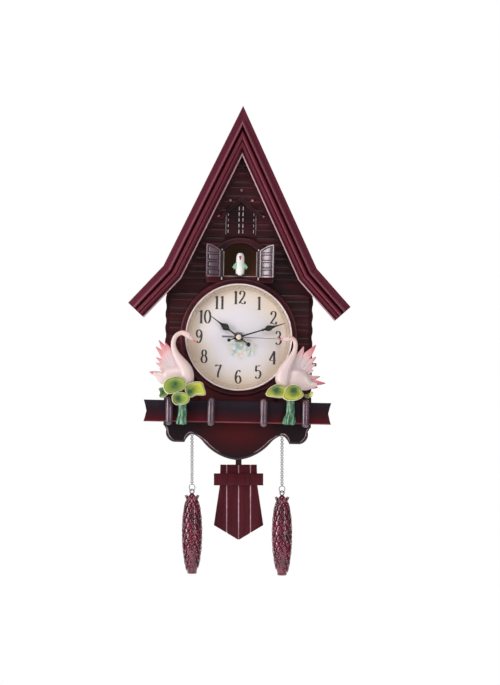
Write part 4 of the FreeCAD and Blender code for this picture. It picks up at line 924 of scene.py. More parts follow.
def shutters():
    tip, heel = 0.3 * MM, HINGE_X - 2.0 * MM
    back, front = HINGE_Y - LEAF_T / 2, HINGE_Y + LEAF_T / 2
    xs = [heel + (tip - heel) * i / 12 for i in range(13)]
    outline = [(tip, LEAF_FOOT), (heel, LEAF_FOOT)] + [(x, leaf_top(x)) for x in xs]
    ground = [drawn(outline, front - 0.7 * MM, back, 0.4 * MM, 2)]
    pieces = []
    # The visible face looks towards +Y before the leaf is turned open
    stile, rail, field_h = 2.3 * MM, 1.7 * MM, 7.4 * MM
    x0, x1 = tip + stile, heel - stile
    z = LEAF_FOOT + 2.2 * MM
    bars = [(tip, x0, LEAF_FOOT, LEAF_HEEL + 6 * MM), (x1, heel, LEAF_FOOT, LEAF_HEEL - 0.5 * MM)]
    bars += [(x0 - 0.2 * MM, x1 + 0.2 * MM, LEAF_FOOT, z)]
    for row in range(3):
        foot = z + row * (field_h + rail)
        bars.append((x0 - 0.2 * MM, x1 + 0.2 * MM, foot + field_h, foot + field_h + rail))
        raised = faced([(x0 + 1.1 * MM, foot + 0.9 * MM), (x1 - 1.1 * MM, foot + 0.9 * MM),
                        (x1 - 1.1 * MM, foot + field_h - 0.9 * MM),
                        (x0 + 1.1 * MM, foot + field_h - 0.9 * MM)],
                       front - 0.8 * MM, front - 0.05 * MM, 0.5 * MM)
        pieces.append(raised)
    for a, b, foot, top in bars:
        pieces.append(faced([(a, foot), (b, foot), (b, min(top, leaf_top(b) - 0.1 * MM)),
                             (a, min(top, leaf_top(a) - 0.1 * MM))], front - 0.8 * MM, front,
                            0.35 * MM))
    top_rail = z + 3 * (field_h + rail)
    rim = [(x, leaf_top(x)) for x in xs]
    inner = [(x, max(leaf_top(x) - 1.9 * MM, top_rail)) for x in reversed(xs)]
    pieces.append(faced(rim + inner, front - 0.8 * MM, front, 0.3 * MM))
    wedge = [(x, max(leaf_top(x) - 3.0 * MM, top_rail + 0.9 * MM)) for x in xs[2:11]]
    wedge = [point for point in wedge if point[1] > top_rail + 1.0 * MM]
    pieces.append(faced([(wedge[-1][0], top_rail + 0.9 * MM),
                         (wedge[0][0], top_rail + 0.9 * MM)] + wedge,
                        front - 0.8 * MM, front - 0.05 * MM, 0.4 * MM))
    knuckle = turned_on([(0.95 * MM, 0.0), (1.7 * MM, 0.15 * MM),
                         (1.7 * MM, LEAF_HEEL - LEAF_FOOT - 0.15 * MM),
                         (0.95 * MM, LEAF_HEEL - LEAF_FOOT), (0.9 * MM, 0.1 * MM)],
                        (HINGE_X, HINGE_Y, LEAF_FOOT), "Z", 16)
    web = drawn([(heel - 0.5 * MM, LEAF_FOOT + 0.2 * MM),
                 (HINGE_X - 1.1 * MM, LEAF_FOOT + 0.2 * MM),
                 (HINGE_X - 1.1 * MM, LEAF_HEEL - 0.4 * MM),
                 (heel - 0.5 * MM, LEAF_HEEL - 0.4 * MM)],
                front - 0.4 * MM, back + 0.5 * MM)
    groove_black = gloss("leaf_ground", (0.010, 0.005, 0.008), (0.024, 0.010, 0.015), 0.5, 90.0,
                         0.05)
    for part, group, finish in (("leaf", ground + [knuckle, web], groove_black),
                                ("panels", pieces, shutter_finish())):
        right = joined(group)
        clear()
        right.select_set(True)
        bpy.context.view_layer.objects.active = right
        ops.transform.rotate(value=-SHUTTER_OPEN, orient_axis="Z",
                             center_override=(HINGE_X, HINGE_Y, 0))
        ops.object.transform_apply(location=True, rotation=True)
        left = mirrored(right)
        for side, piece in (("right", right), ("left", left)):
            settled(piece, f"shutter_{side}_{part}", finish, f"shutter_{side}",
                    [f"shutter_{side}"] if part == "leaf" else [])
    pale = gloss("pin_white", (0.55, 0.50, 0.50), (0.80, 0.76, 0.76), 0.35, 120.0, 0.2)
    paint_node("shutter_pins", pale)


def faced(outline, back, front, edge):
    """A board whose rounded face looks towards +Y."""
    line([(x, back, z) for x, z in outline])
    ops.mesh.edge_face_add()
    ops.mesh.extrude_region_move(TRANSFORM_OT_translate={"value": (0, front - edge - back, 0)})
    rounded_rim(edge, 2, 1.0)
    return done()


def shutter_finish():
    """Dark mauve leaf paint under a thick gloss."""
    f = Finish("shutter_gloss", Coat_Roughness=0.12)
    cloud = f.noise(60.0, 3.0)
    tone = f.ramp(cloud, (0.35, (0.110, 0.060, 0.085)), (0.68, (0.21, 0.12, 0.155)))
    return f.paint(Base_Color=tone, Roughness=0.26 + 0.12 * cloud,
                   Coat_Weight=0.95 - 0.15 * cloud, Normal=f.bump(f.noise(260.0, 2.0), 0.1, 0.0003))


def bird():
    foot = SILL + 0.4 * MM
    middle = (low("bird_body")[0] + high("bird_body")[0]) / 2
    y = (low("bird_wings")[1] + high("bird_wings")[1]) / 2
    h = 27.8 * MM
    profile = [(0, 0), (4.6, 0), (5.1, 0.03), (5.3, 0.2), (5.25, 0.4), (4.95, 0.6), (4.95, 0.74),
               (4.7, 0.85),
               (3.9, 0.94), (2.4, 0.99), (0, 1.0)]
    body = turned_on([(r * MM, share * h) for r, share in profile], (middle, y, foot), "Z", 28)
    body = applied(body, "SUBSURF", levels=1, render_levels=1)
    white = gloss("bird_white", (0.80, 0.78, 0.76), (0.92, 0.91, 0.90), 0.5, 150.0, 0.1)
    settled(body, "bird_figure", white, "bird", ["bird_body"], 60)
    beak = turned_on([(0, 0.0), (1.5 * MM, 0.0), (1.45 * MM, 1.4 * MM), (0.8 * MM, 3.6 * MM),
                      (0, 5.2 * MM)],
                     (0, 0, 0), "Z", 12)
    beak.rotation_euler = (math.radians(152), 0, 0)
    beak.location = (middle, y - 4.0 * MM, foot + 0.84 * h)
    red = gloss("beak_red", (0.42, 0.02, 0.04), (0.62, 0.05, 0.07), 0.4, 200.0, 0.2)
    settled(beak, "bird_beak", red, "bird")
    wings = []
    for sign in (1, -1):
        feather_set = []
        for k, (out, drop, long) in enumerate(((0.0, 0.0, 10.5), (1.3, 0.6, 8.5), (-0.9, -1.0,
                11.0))):
            feather = turned_on([(0, 0), (1.5 * MM, 1.6 * MM), (2.1 * MM, 4.6 * MM),
                                 (1.9 * MM, 8.0 * MM),
                                 (1.1 * MM, (long - 1.5) * MM), (0, long * MM)], (0, 0, 0), "Z", 12)
            feather.scale = (0.8, 1.15, 1)
            feather.rotation_euler = (0, math.radians(180 - sign * (24 + 6 * out)), 0)
            feather.location = (middle + sign * (3.6 + 0.3 * out) * MM, y - 0.7 * k * MM,
                                foot + (0.60 * h) - drop * MM)
            feather_set.append(feather)
        wings += feather_set
    wing = joined(wings)
    green = gloss("wing_green", (0.16, 0.46, 0.22), (0.42, 0.72, 0.46), 0.5, 220.0, 0.1)
    settled(wing, "bird_wing_pair", green, "bird", ["bird_wings"], 60)
    paint_node("bird_carriage", gloss("carriage_black", (0.012, 0.011, 0.012), (0.03, 0.028, 0.03),
                                      0.5, 90.0, 0))
    # The chamber glows by a faint emission though no lamp is in it, and its brown is painted light: bright on the
    # right side and fading towards the top
    room = Finish("chamber_brown", Emission_Color=(0.30, 0.15, 0.09, 1.0), Emission_Strength=0.06)
    x = room.axis("X")
    grain = room.noise(1.0, 4.0, room.moved(scale=(90, 60, 400)))
    painted_light_from_right = ((x + 2 * MM) / (26 * MM)).clamped()
    height = ((room.axis("Z") - SILL) / (38 * MM)).clamped()
    painted_glow = (painted_light_from_right * (1.0 - height * 0.75) + grain * 0.12).clamped()
    tone = room.ramp(painted_glow, (0.08, (0.018, 0.010, 0.007)), (0.45, (0.22, 0.11, 0.075)),
                     (0.9, (0.80, 0.48, 0.32)))
    paint_node("bird_chamber", room.paint(Base_Color=tone, Roughness=0.7 - 0.1 * grain))


# ---------------------------------------------------------------- gable window
WINDOW_FOOT = low("gable_window")[2]
WINDOW_HALF_W = 18.3
PEAK_H = 38.4
SHOULDER_H = 27.2


def window_board(grow):
    """The window's outline: upright sides under a low pointed head, larger by grow (mm)."""
    w = WINDOW_HALF_W + grow
    return [(w, -grow), (w, SHOULDER_H + grow * 0.4), (0.0, PEAK_H + grow),
            (-w, SHOULDER_H + grow * 0.4),
            (-w, -grow)]


def gable_window():
    y = PANEL_Y - 3.0 * MM
    flat = [(x * MM, WINDOW_FOOT + z * MM) for x, z in window_board(0.0)]
    pieces = [drawn(flat, PANEL_Y, y + 0.4 * MM)]
    # The pale bars gathered here are painted highlights: the glints of light on the pane edges
    glint_bars = []
    for sign in (-1, 1):
        pieces.append(bar(sign * 17.3, 1.7, 0.2, 27.4, y))
        pieces.append(bar(sign * 0.9, 1.3, 0.2, 36.0, y))
        glint_bars.append(bar(sign * 18.1, 0.5, 0.5, 25.5, y + 0.2 * MM))
        for row in range(5):
            foot = 2.2 + 7.0 * row
            pieces.append(cross_bar(sign, 1.5, 16.4, foot - 1.7, 1.6, y))
            glint_bars.append(bar(sign * 2.4, 0.9, foot, foot + 4.6, y + 0.2 * MM))
            if row < 4:
                glint_bars.append(bar(sign * 15.5, 0.6, foot + 0.5, foot + 4.4 - 0.4 * row,
                                      y + 0.2 * MM))
    pieces.append(cross_bar(0, -18.3, 18.3, -0.2, 1.6, y))
    window = joined(pieces)
    settled(window, "gable_casement", trim_finish(), "case", ["gable_window"])
    pale = gloss("glint_paint", (0.40, 0.30, 0.33), (0.95, 0.85, 0.88), 0.25, 420.0, 0.5)
    settled(joined(glint_bars), "casement_glints", pale, "case")


def bar(x, width, foot, top, y):
    """An upright glazing bar with a rounded face."""
    x0, x1 = (x - width / 2) * MM, (x + width / 2) * MM
    z0, z1 = WINDOW_FOOT + foot * MM, WINDOW_FOOT + top * MM
    return drawn([(x0, z0), (x1, z0), (x1, z1), (x0, z1)], y + 1.0 * MM, y - 0.9 * MM,
                 0.24 * width * MM, 2)


def cross_bar(sign, x0, x1, foot, height, y):
    a, b = (x0, x1) if sign >= 0 else (-x1, -x0)
    z0 = WINDOW_FOOT + foot * MM
    return drawn([(a * MM, z0), (b * MM, z0), (b * MM, z0 + height * MM),
                  (a * MM, z0 + height * MM)],
                 y + 1.0 * MM, y - 0.5 * MM, 0.3 * MM, 2)


def pediment():
    """Two slanting strips that meet over the window, and five beads along them."""
    y = PANEL_Y - 3.6 * MM
    foot = (27.3 * MM, up(146.5))
    peak = (0.0, up(171.5))
    drop = 5.6 * MM
    outline = [(0.0, peak[1]), (foot[0], foot[1]), (foot[0] - 1.6 * MM, foot[1] - 2.6 * MM),
               (foot[0] - 4.2 * MM, foot[1] - 2.2 * MM), (0.0, peak[1] - drop - 1.2 * MM)]
    strips = joined(halves(outline, PANEL_Y, y - 1.6 * MM, 0.9 * MM, 3))
    settled(strips, "gable_hood", trim_finish(), "case", ["gable_pediment"])
    beads = []
    for x, z in ((-26.9, 146.9), (-13.4, 166.4), (0.0, 178.7), (13.4, 166.4), (26.9, 146.9)):
        bead = turned_on([(0, -4.0 * MM), (0.9 * MM, -3.8 * MM), (1.5 * MM, -3.1 * MM),
                          (1.7 * MM, -2.2 * MM),
                          (1.7 * MM, 0), (0, 0)], (x * MM, PANEL_Y - 0.8 * MM, up(z)), "Y", 18)
        beads.append(bead)
    pink = gloss("bead_pink", (0.22, 0.08, 0.10), (0.50, 0.28, 0.32), 0.2, 160.0, 0.8)
    settled(joined(beads), "gable_beads", pink, "case")


# ---------------------------------------------------------------- balcony and apron
def rail_finish():
    """Purple-black gloss that turns deep red towards the foot of the rail."""
    f = Finish("rail_gloss", Coat_Roughness=0.08, IOR=1.22)
    height = ((f.axis("Z") - RAIL_LOW[2]) / (RAIL_HIGH[2] - RAIL_LOW[2])).clamped()
    cloud = f.noise(16.0, 3.0)
    streak = f.noise(1.0, 3.0, f.moved(scale=(20, 60, 300)))
    tone = f.ramp(height + (cloud - 0.5) * 0.5, (0.06, (0.075, 0.005, 0.009)),
                  (0.32, (0.036, 0.006, 0.010)),
                  (0.62, (0.017, 0.008, 0.013)), (0.95, (0.022, 0.014, 0.023)))
    return f.paint(Base_Color=tone, Roughness=0.42 + 0.12 * cloud, Coat_Weight=0.08 - 0.05 * streak,
                   Normal=f.bump(streak, 0.1, 0.0004))


def rail():
    notch, half, middle = 3.4 * MM, RAIL_HIGH[0], (RAIL_LOW[2] + RAIL_HIGH[2]) / 2
    foot, top = RAIL_LOW[2], RAIL_HIGH[2]
    front, back = RAIL_LOW[1], RAIL_HIGH[1]
    outline = [(0, foot), (half, foot), (half - notch * 0.45, foot + 5 * MM),
               (half - notch, middle),
               (half - notch * 0.45, top - 5 * MM), (half, top), (0, top)]
    lip = [(0, foot), (half - 0.4 * MM, foot), (half - 0.8 * MM, foot + 1.7 * MM),
           (0, foot + 1.7 * MM)]
    cap = [(0, top - 1.5 * MM), (half - 0.6 * MM, top - 1.5 * MM), (half - 0.3 * MM, top), (0, top)]
    boards = [whole(outline, back, front + 0.7 * MM, 0.8 * MM)]
    boards.append(whole(cap, front + 2.0 * MM, front, 0.5 * MM, 2))
    settled(joined(boards), "balcony_board", rail_finish(), "case", ["balcony_rail"],
            50)
    # The red lip along the foot of the rail is painted highlight of its lower edge
    red = gloss("rail_edge_red", (0.12, 0.012, 0.018), (0.24, 0.035, 0.045), 0.3, 60.0, 0.5)
    settled(whole(lip, front + 2.0 * MM, front, 0.6 * MM, 2), "balcony_lip", red, "case")


def posts():
    r, foot, top = 4.5 * MM, low("balcony_posts")[2], high("balcony_posts")[2]
    y = low("balcony_posts")[1] + r
    h = top - foot
    made = []
    for x in (-82.7, -32.0, 32.0, 82.7):
        profile = [(0, 0), (r * 0.42, 0.25 * MM), (r * 0.76, 1.3 * MM), (r * 0.95, 3.0 * MM),
                   (r, 5.0 * MM),
                   (r, h / 2), (r, h - 4.4 * MM), (r * 0.94, h - 2.4 * MM),
                   (r * 0.74, h - 1.0 * MM),
                   (r * 0.4, h - 0.2 * MM), (0, h)]
        made.append(turned_on(profile, (x * MM, y, foot), "Z", 36))
    f = Finish("post_gloss", Coat_Roughness=0.05)
    cloud = f.noise(40.0, 3.0)
    f.paint(Base_Color=f.ramp(cloud, (0.35, (0.072, 0.036, 0.056)), (0.65, (0.155, 0.085, 0.118))),
            Roughness=0.2 + 0.08 * cloud, Coat_Weight=0.95 - 0.1 * cloud)
    settled(joined(made), "half_round_posts", f.made, "case", ["balcony_posts"], 60)


def through(a, b, c, steps=12):
    """Points on the circle through three points, from the first to the last."""
    (ax, az), (bx, bz), (cx, cz) = a, b, c
    d = 2 * (ax * (bz - cz) + bx * (cz - az) + cx * (az - bz))
    ux = ((ax * ax + az * az) * (bz - cz) + (bx * bx + bz * bz) * (cz - az) + (cx * cx + cz * cz) * (az - bz)) / d
    uz = ((ax * ax + az * az) * (cx - bx) + (bx * bx + bz * bz) * (ax - cx) + (cx * cx + cz * cz) * (bx - ax)) / d
    start = math.atan2(az - uz, ax - ux)
    middle = math.atan2(bz - uz, bx - ux)
    end = math.atan2(cz - uz, cx - ux)
    turn = 2 * math.pi
    forwards = (middle - start) % turn <= (end - start) % turn
    sweep = (end - start) % turn if forwards else -((start - end) % turn)
    radius = math.hypot(ax - ux, az - uz)
    return [(ux + radius * math.cos(start + sweep * i / steps),
             uz + radius * math.sin(start + sweep * i / steps))
            for i in range(steps + 1)]


def apron():
    lobe = through((86.1, -113.9), (84.2, -124.2), (76.5, -129.0))
    lobe += through((63.8, -129.0), (59.6, -122.2), (55.0, -118.5))
    lobe += through((55.0, -118.5), (49.0, -121.3), (42.0, -127.0))[1:]
    lobe += through((42.0, -127.0), (21.8, -143.5), (0.0, -149.7), 20)[1:]
    outline = [(0, -84.4), (89.4, -84.4), (89.6, -107.4)] + lobe
    outline = [(x * MM, up(z)) for x, z in outline]
    full = outline + [(-x, z) for x, z in reversed(outline[1:-1])]
    board = drawn(full, high("apron")[1], low("apron")[1], 2.6 * MM, 5)
    f = Finish("apron_gloss", Coat_Roughness=0.06, IOR=1.3)
    x, z = f.axis("X"), f.axis("Z") - up(-116)
    away = ((x / (58 * MM)) ** 2.0 + (z / (30 * MM)) ** 2.0) ** 0.5
    cloud = f.noise(30.0, 3.0)
    tone = f.ramp(away + (cloud - 0.5) * 0.25, (0.25, (0.060, 0.006, 0.008)),
                  (0.75, (0.030, 0.005, 0.007)),
                  (1.0, (0.013, 0.006, 0.009)))
    f.paint(Base_Color=tone, Roughness=0.24 + 0.1 * cloud, Coat_Weight=0.60 - 0.15 * cloud,
            Normal=f.bump(f.noise(300.0, 2.0), 0.06, 0.0003))
    settled(board, "apron_board", f.made, "case", ["apron"], 60)
    # Thin pale strands along the notches and lobes are painted highlights of the glossy rounded edge
    worn = []
    for sign in (-1, 1):
        for path in (((64.2, -125.8, 0.2), (62.4, -121.0, 0.5), (58.0, -117.0, 0.6),
                      (53.0, -116.8, 0.3)),
                     ((49.0, -119.0, 0.2), (40.0, -124.9, 0.5), (30.0, -134.2, 0.4),
                      (20.0, -141.0, 0.2)),
                     ((86.6, -109.0, 0.2), (84.2, -113.6, 0.5), (82.6, -120.6, 0.5),
                      (77.0, -126.6, 0.2))):
            worn.append(strand([(sign * x, z, r) for x, z, r in path], "worn",
                               low("apron")[1] + 0.2 * MM))
    pale = gloss("edge_wear", (0.20, 0.09, 0.12), (0.62, 0.42, 0.48), 0.3, 160.0, 0.6)
    settled(joined(worn), "apron_edge_wear", pale, "case")


# ---------------------------------------------------------------- pendulum
GROOVE_HALF = 0.55
PIVOT_Z = up(-21.0)


def hung(piece, pivot_x, pivot_z):
    """Turn a piece drawn upright about its pivot, to where it settles in the leaning house."""
    turn = Matrix.Rotation(-LEAN, 4, "Y")
    pivot = Matrix.Translation((pivot_x, 0, pivot_z))
    piece.data.transform(pivot @ turn @ pivot.inverted())
    return piece


def bob_half_width(z):
    if z > -182.0:
        return 22.4 + 0.7 * (-156.6 - z) / 25.4
    return 23.1 + 7.3 * (-182.0 - z) / 48.9


def bob_foot(x):
    return -249.2 + 18.3 * x / 30.4


def pendulum():
    front, back = low("pendulum_bob")[1], high("pendulum_bob")[1]
    stain = bob_finish("bob_stain", (0.052, 0.004, 0.009), (0.115, 0.010, 0.019))
    planks = []
    for x0, x1 in ((0.0, 14.6), (14.6, None)):
        a = x0 + GROOVE_HALF
        if x1:
            b = x1 - GROOVE_HALF
            outline = [(a, bob_foot(a)), (b, bob_foot(b)), (b, -156.6), (a, -156.6)]
        else:
            outline = [(a, bob_foot(a)), (30.4, -230.9), (bob_half_width(-182.0), -182.0),
                       (22.4, -156.6),
                       (a, -156.6)]
        outline = [(x * MM, up(z)) for x, z in outline]
        planks += halves(outline, back, front, 0.5 * MM, 2)
    settled(hung(joined(planks), 0, PIVOT_Z), "bob_planks", stain, "pendulum", ["pendulum_bob"],
            50)
    # Pale pink strips seen through the grooves of the bob are painted highlights of the grooves' chamfers
    strips = []
    for x in (-14.6, 0.0, 14.6):
        low_z = bob_foot(abs(x)) + 0.8
        outline = [(x - 0.7, low_z), (x + 0.7, low_z), (x + 0.7, -157.0), (x - 0.7, -157.0)]
        strips.append(drawn([(a * MM, up(b)) for a, b in outline], back - 0.4 * MM,
                            front + 0.3 * MM))
    pink = gloss("groove_pink", (0.36, 0.16, 0.21), (0.64, 0.38, 0.44), 0.5, 90.0, 0.1)
    settled(hung(joined(strips), 0, PIVOT_Z), "bob_grooves", pink, "pendulum")
    bar = drawn(spots((-30.3, -182.0), (30.3, -182.0), (30.3, -167.2), (-30.3, -167.2)),
                high("bob_crossbar")[1], low("bob_crossbar")[1], 0.5 * MM, 2)
    settled(hung(bar, 0, PIVOT_Z), "bob_strap", stain, "pendulum", ["bob_crossbar"], 50)
    stick = drawn(spots((-3.65, -164.6), (3.65, -164.6), (3.65, -31.0), (-3.65, -31.0)),
                  high("pendulum_rod")[1], low("pendulum_rod")[1], 0.4 * MM, 2)
    dark = bob_finish("rod_stain", (0.020, 0.006, 0.008), (0.050, 0.012, 0.016))
    settled(hung(stick, 0, PIVOT_Z), "pendulum_stick", dark, "pendulum", ["pendulum_rod"],
            50)


def bob_finish(name, dark, light):
    f, fibre, tone = along(name, 0.0, dark, light)
    return f.paint(Base_Color=tone, Roughness=0.56 - 0.12 * fibre, Coat_Weight=0.05,
                   Normal=f.bump(fibre, 0.25, 0.0003))


# ---------------------------------------------------------------- pine cones
CONE_PROFILE = ((5.0, 0.0), (6.2, 0.6), (7.2, 5.0), (9.4, 16.0), (11.2, 30.0), (12.0, 44.0),
                (12.0, 56.0),
                (11.2, 70.0), (9.6, 81.0), (7.8, 88.0), (5.6, 92.5), (4.6, 94.5))
SCALE_ROWS = 13
SCALES_AROUND = 10
CHAIN_X = 55.0 * MM
HOOK_Z = up(-115.8)


def cone_radius(h):
    for (r0, h0), (r1, h1) in zip(CONE_PROFILE[1:], CONE_PROFILE[2:]):
        if h <= h1:
            return r0 + (r1 - r0) * max(h - h0, 0.0) / (h1 - h0)
    return CONE_PROFILE[-1][0]


def cone_scale():
    """One pillow-shaped diamond scale, lying in X and Z with its face towards -Y."""
    line([(0, 0, -4.9 * MM), (2.5 * MM, 0, -1.6 * MM), (3.1 * MM, 0, 0.6 * MM),
          (1.5 * MM, 0, 3.4 * MM),
          (0, 0, 4.6 * MM), (-1.5 * MM, 0, 3.4 * MM), (-3.1 * MM, 0, 0.6 * MM),
          (-2.5 * MM, 0, -1.6 * MM)])
    ops.mesh.edge_face_add()
    ops.mesh.extrude_region_move(TRANSFORM_OT_translate={"value": (0, -0.45 * MM, 0)})
    ops.mesh.inset(thickness=0.7 * MM)
    ops.transform.translate(value=(0, -0.5 * MM, 0))
    ops.mesh.inset(thickness=0.75 * MM)
    ops.transform.translate(value=(0, -0.25 * MM, 0))
    return done()


def pine_cones():
    foot = low("pinecone_right")[2] + 0.12 * MM
    y = (low("pinecone_right")[1] + high("pinecone_right")[1]) / 2
    core = turned_on([(0, 0)] + [(max(r - 1.0, 0.5) * MM, h * MM) for r,
                                 h in CONE_PROFILE] + [(0, 94.5 * MM)],
                     (0, 0, 0), "Z", 32)
    foot_disc = turned_on([(0, 0.02 * MM), (4.6 * MM, 0.0), (5.6 * MM, 0.5 * MM),
                           (6.0 * MM, 2.2 * MM), (0, 3 * MM)],
                          (0, 0, 0), "Z", 28)
    pieces = [core, foot_disc]
    pattern = cone_scale()
    pitch = 88.0 / SCALE_ROWS
    for row in range(SCALE_ROWS):
        for k in range(SCALES_AROUND):
            share = k / SCALES_AROUND
            h = 6.4 + pitch * (row + share)
            if h > 91.5:
                continue
            r = cone_radius(h)
            slope = math.atan2(cone_radius(h + 2) - cone_radius(h - 2), 4.0)
            turn = 2 * math.pi * share + row * math.pi / SCALES_AROUND
            twin = copied(pattern)
            size = r / 12.4
            stretch = 1.0 + 0.35 * max(0.0, (h - 72) / 20)
            twin.scale = (size * 1.02, 0.8, (0.74 + 0.2 * size) * stretch)
            twin.rotation_euler = (slope - math.radians(3), 0, turn)
            twin.location = ((r - 0.5) * MM * math.sin(turn), -(r - 0.5) * MM * math.cos(turn),
                             h * MM)
            pieces.append(twin)
    bpy.data.objects.remove(pattern)
    for k in range(7):
        turn = 2 * math.pi * (k + 0.5) / 7
        petal = drawn([(-2.2 * MM, 0), (2.2 * MM, 0), (2.9 * MM, 3.0 * MM), (1.5 * MM, 6.2 * MM),
                       (0, 8.8 * MM),
                       (-1.5 * MM, 6.2 * MM), (-2.9 * MM, 3.0 * MM)], 0.6 * MM, -0.8 * MM, 0.5 * MM,
                      2)
        petal.rotation_euler = (math.radians(29), 0, turn)
        petal.location = (4.5 * MM * math.sin(turn), -4.5 * MM * math.cos(turn), 88.4 * MM)
        pieces.append(petal)
    neck = turned_on([(0, 88 * MM), (5.2 * MM, 88.4 * MM), (4.8 * MM, 93 * MM), (3.2 * MM, 96 * MM),
                      (2.2 * MM, 97.6 * MM), (1.6 * MM, 98.4 * MM), (0, 98.6 * MM)], (0, 0, 0), "Z",
                     24)
    pieces.append(neck)
    section = [(2.0, 0), (2.15, -0.8), (2.6, -1.1), (3.05, -0.8), (3.25, 0), (3.05, 0.8),
               (2.6, 1.1), (2.15, 0.8),
               (2.0, 0)]
    eye = turned_on([(r * MM, h * MM) for r, h in section], (0, 0, 0), "Y", 28)
    eye.location = (0, 0, high("pinecone_right")[2] - foot - 3.25 * MM)
    eye.rotation_euler = (0, 0, math.radians(-15))
    pieces.append(eye)
    cone = joined(pieces)
    ops.object.transform_apply(location=True, rotation=True, scale=True)
    cone.location = (CHAIN_X, y, foot)
    ops.object.transform_apply(location=True)
    other = mirrored(cone)
    f = Finish("cone_red", Coat_Roughness=0.05)
    cloud = f.noise(70.0, 3.0)
    speck = f.noise(420.0, 2.0)
    f.paint(Base_Color=f.ramp(cloud, (0.35, (0.080, 0.004, 0.016)), (0.65, (0.190, 0.011, 0.040))),
            Roughness=0.08 + 0.08 * cloud, Coat_Weight=1.0 - 0.15 * speck,
            Normal=f.bump(speck, 0.12, 0.0003))
    settled(hung(cone, CHAIN_X, HOOK_Z), "pinecone_right_scales", f.made, "cone_right",
            ["pinecone_right"],
            60)
    settled(hung(other, -CHAIN_X, HOOK_Z), "pinecone_left_scales", f.made, "cone_left",
            ["pinecone_left"],
            60)


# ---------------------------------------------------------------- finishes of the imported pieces
def metal(name, dark, light, roughness):
    f = Finish(name)
    brushed = f.noise(1.0, 3.0, f.moved(scale=(900, 900, 200)))
    return f.paint(Base_Color=f.ramp(brushed, (0.3, dark), (0.7, light)),
                   Metallic=0.95 - 0.1 * brushed,
                   Roughness=roughness + 0.12 * brushed, Normal=f.bump(brushed, 0.1, 0.0002))


def moulded(name, dark, light, roughness=0.5):
    """Plain moulded plastic with a fine spark-eroded texture."""
    f = Finish(name)
    cloud = f.noise(25.0, 2.0)
    return f.paint(Base_Color=f.ramp(cloud, (0.35, dark), (0.65, light)),
                   Roughness=roughness - 0.1 * cloud,
                   Normal=f.bump(f.noise(1400.0, 2.0), 0.15, 0.0002))


def inner_works():
    steel = metal("bright_steel", (0.42, 0.42, 0.43), (0.62, 0.62, 0.63), 0.25)
    chain = metal("chain_steel", (0.13, 0.13, 0.14), (0.34, 0.34, 0.36), 0.2)
    zinc = metal("plate_zinc", (0.40, 0.39, 0.36), (0.60, 0.58, 0.54), 0.35)
    black = moulded("works_black", (0.010, 0.010, 0.011), (0.022, 0.021, 0.022))
    grey = moulded("works_grey", (0.07, 0.07, 0.075), (0.12, 0.12, 0.125))
    cover_black = moulded("battery_cover_black", (0.016, 0.015, 0.016), (0.034, 0.032, 0.033), 0.45)
    for names, finish in ((("screws", "movement_nut", "pendulum_hanger", "chain_hooks"), steel),
                          (("chain_left", "chain_right", "cone_ring_left", "cone_ring_right"),
                           chain),
                          (("hanger_plate",), zinc),
                          (("movement_case", "battery_holder", "switch_body"), black),
                          (("set_knob", "bird_motor", "switch_lever"), grey),
                          (("battery_cover",), cover_black)):
        for name in names:
            paint_node(name, finish)
    cell = Finish("cell_sleeve", Coat_Roughness=0.1)
    height = cell.axis("Z")
    band = cell.ramp((height * 1000.0 / 30.0).math("FRACT"), (0.0, (0.02, 0.02, 0.022)),
                     (0.55, (0.03, 0.03, 0.034)), (0.62, (0.55, 0.28, 0.10)),
                     (0.9, (0.62, 0.34, 0.13)))
    scuff = cell.noise(300.0, 3.0)
    paint_node("aa_cells", cell.paint(Base_Color=band, Roughness=0.25 + 0.15 * scuff, Metallic=0.3))
    board = Finish("board_green")
    traces = board.noise(1.0, 2.0, board.moved(scale=(700, 10, 160)))
    paint_node("circuit_board", board.paint(
        Base_Color=board.ramp(traces, (0.44, (0.008, 0.075, 0.030)), (0.52, (0.030, 0.16, 0.065))),
        Roughness=0.35 + 0.1 * traces, Normal=board.bump(traces, 0.2, 0.0002)))
    cone = Finish("speaker_paper")
    away = ((cone.axis("X") - 0.060) ** 2.0 + (cone.axis("Z") - up(-52.0)) ** 2.0) ** 0.5
    ring = (away * 900.0).math("SINE")
    paint_node("speaker", cone.paint(Base_Color=cone.ramp(ring * 0.5 + 0.5, (0.3, (0.016, 0.016,
            0.017)),
                                                          (0.8, (0.05, 0.05, 0.052))),
                                     Roughness=0.6 + 0.1 * ring,
                                     Normal=cone.bump(ring, 0.3, 0.0004)))


# ---------------------------------------------------------------- swans and lilies
SWAN_Y = (low("swan_left")[1] + high("swan_left")[1]) / 2
LEAF_FRONT = low("lily_left")[1]


def spots(*points):
    return [(x * MM, up(z)) for x, z in points]


def strand(points, name, y=0.0, flat=1.0, sides=4):
    """A smooth tapering limb through points of X, Z and radius, flattened along Y."""
    path = smooth_line(points, 6)
    sheet = bpy.data.curves.new(name, "CURVE")
    sheet.dimensions = "3D"
    sheet.bevel_depth = 1.0
    sheet.bevel_resolution = sides
    sheet.use_fill_caps = True
    spline = sheet.splines.new("POLY")
    spline.points.add(len(path) - 1)
    for place, (x, z, r) in zip(spline.points, path):
        place.co = (x * MM, 0, up(z), 1)
        place.radius = r * MM
    made = bpy.data.objects.new(name, sheet)
    bpy.context.collection.objects.link(made)
    clear()
    made.select_set(True)
    bpy.context.view_layer.objects.active = made
    ops.object.convert(target="MESH")
    made = bpy.context.object
    made.scale = (1, flat, 1)
    made.location = (0, y, 0)
    ops.object.transform_apply(location=True, scale=True)
    return made


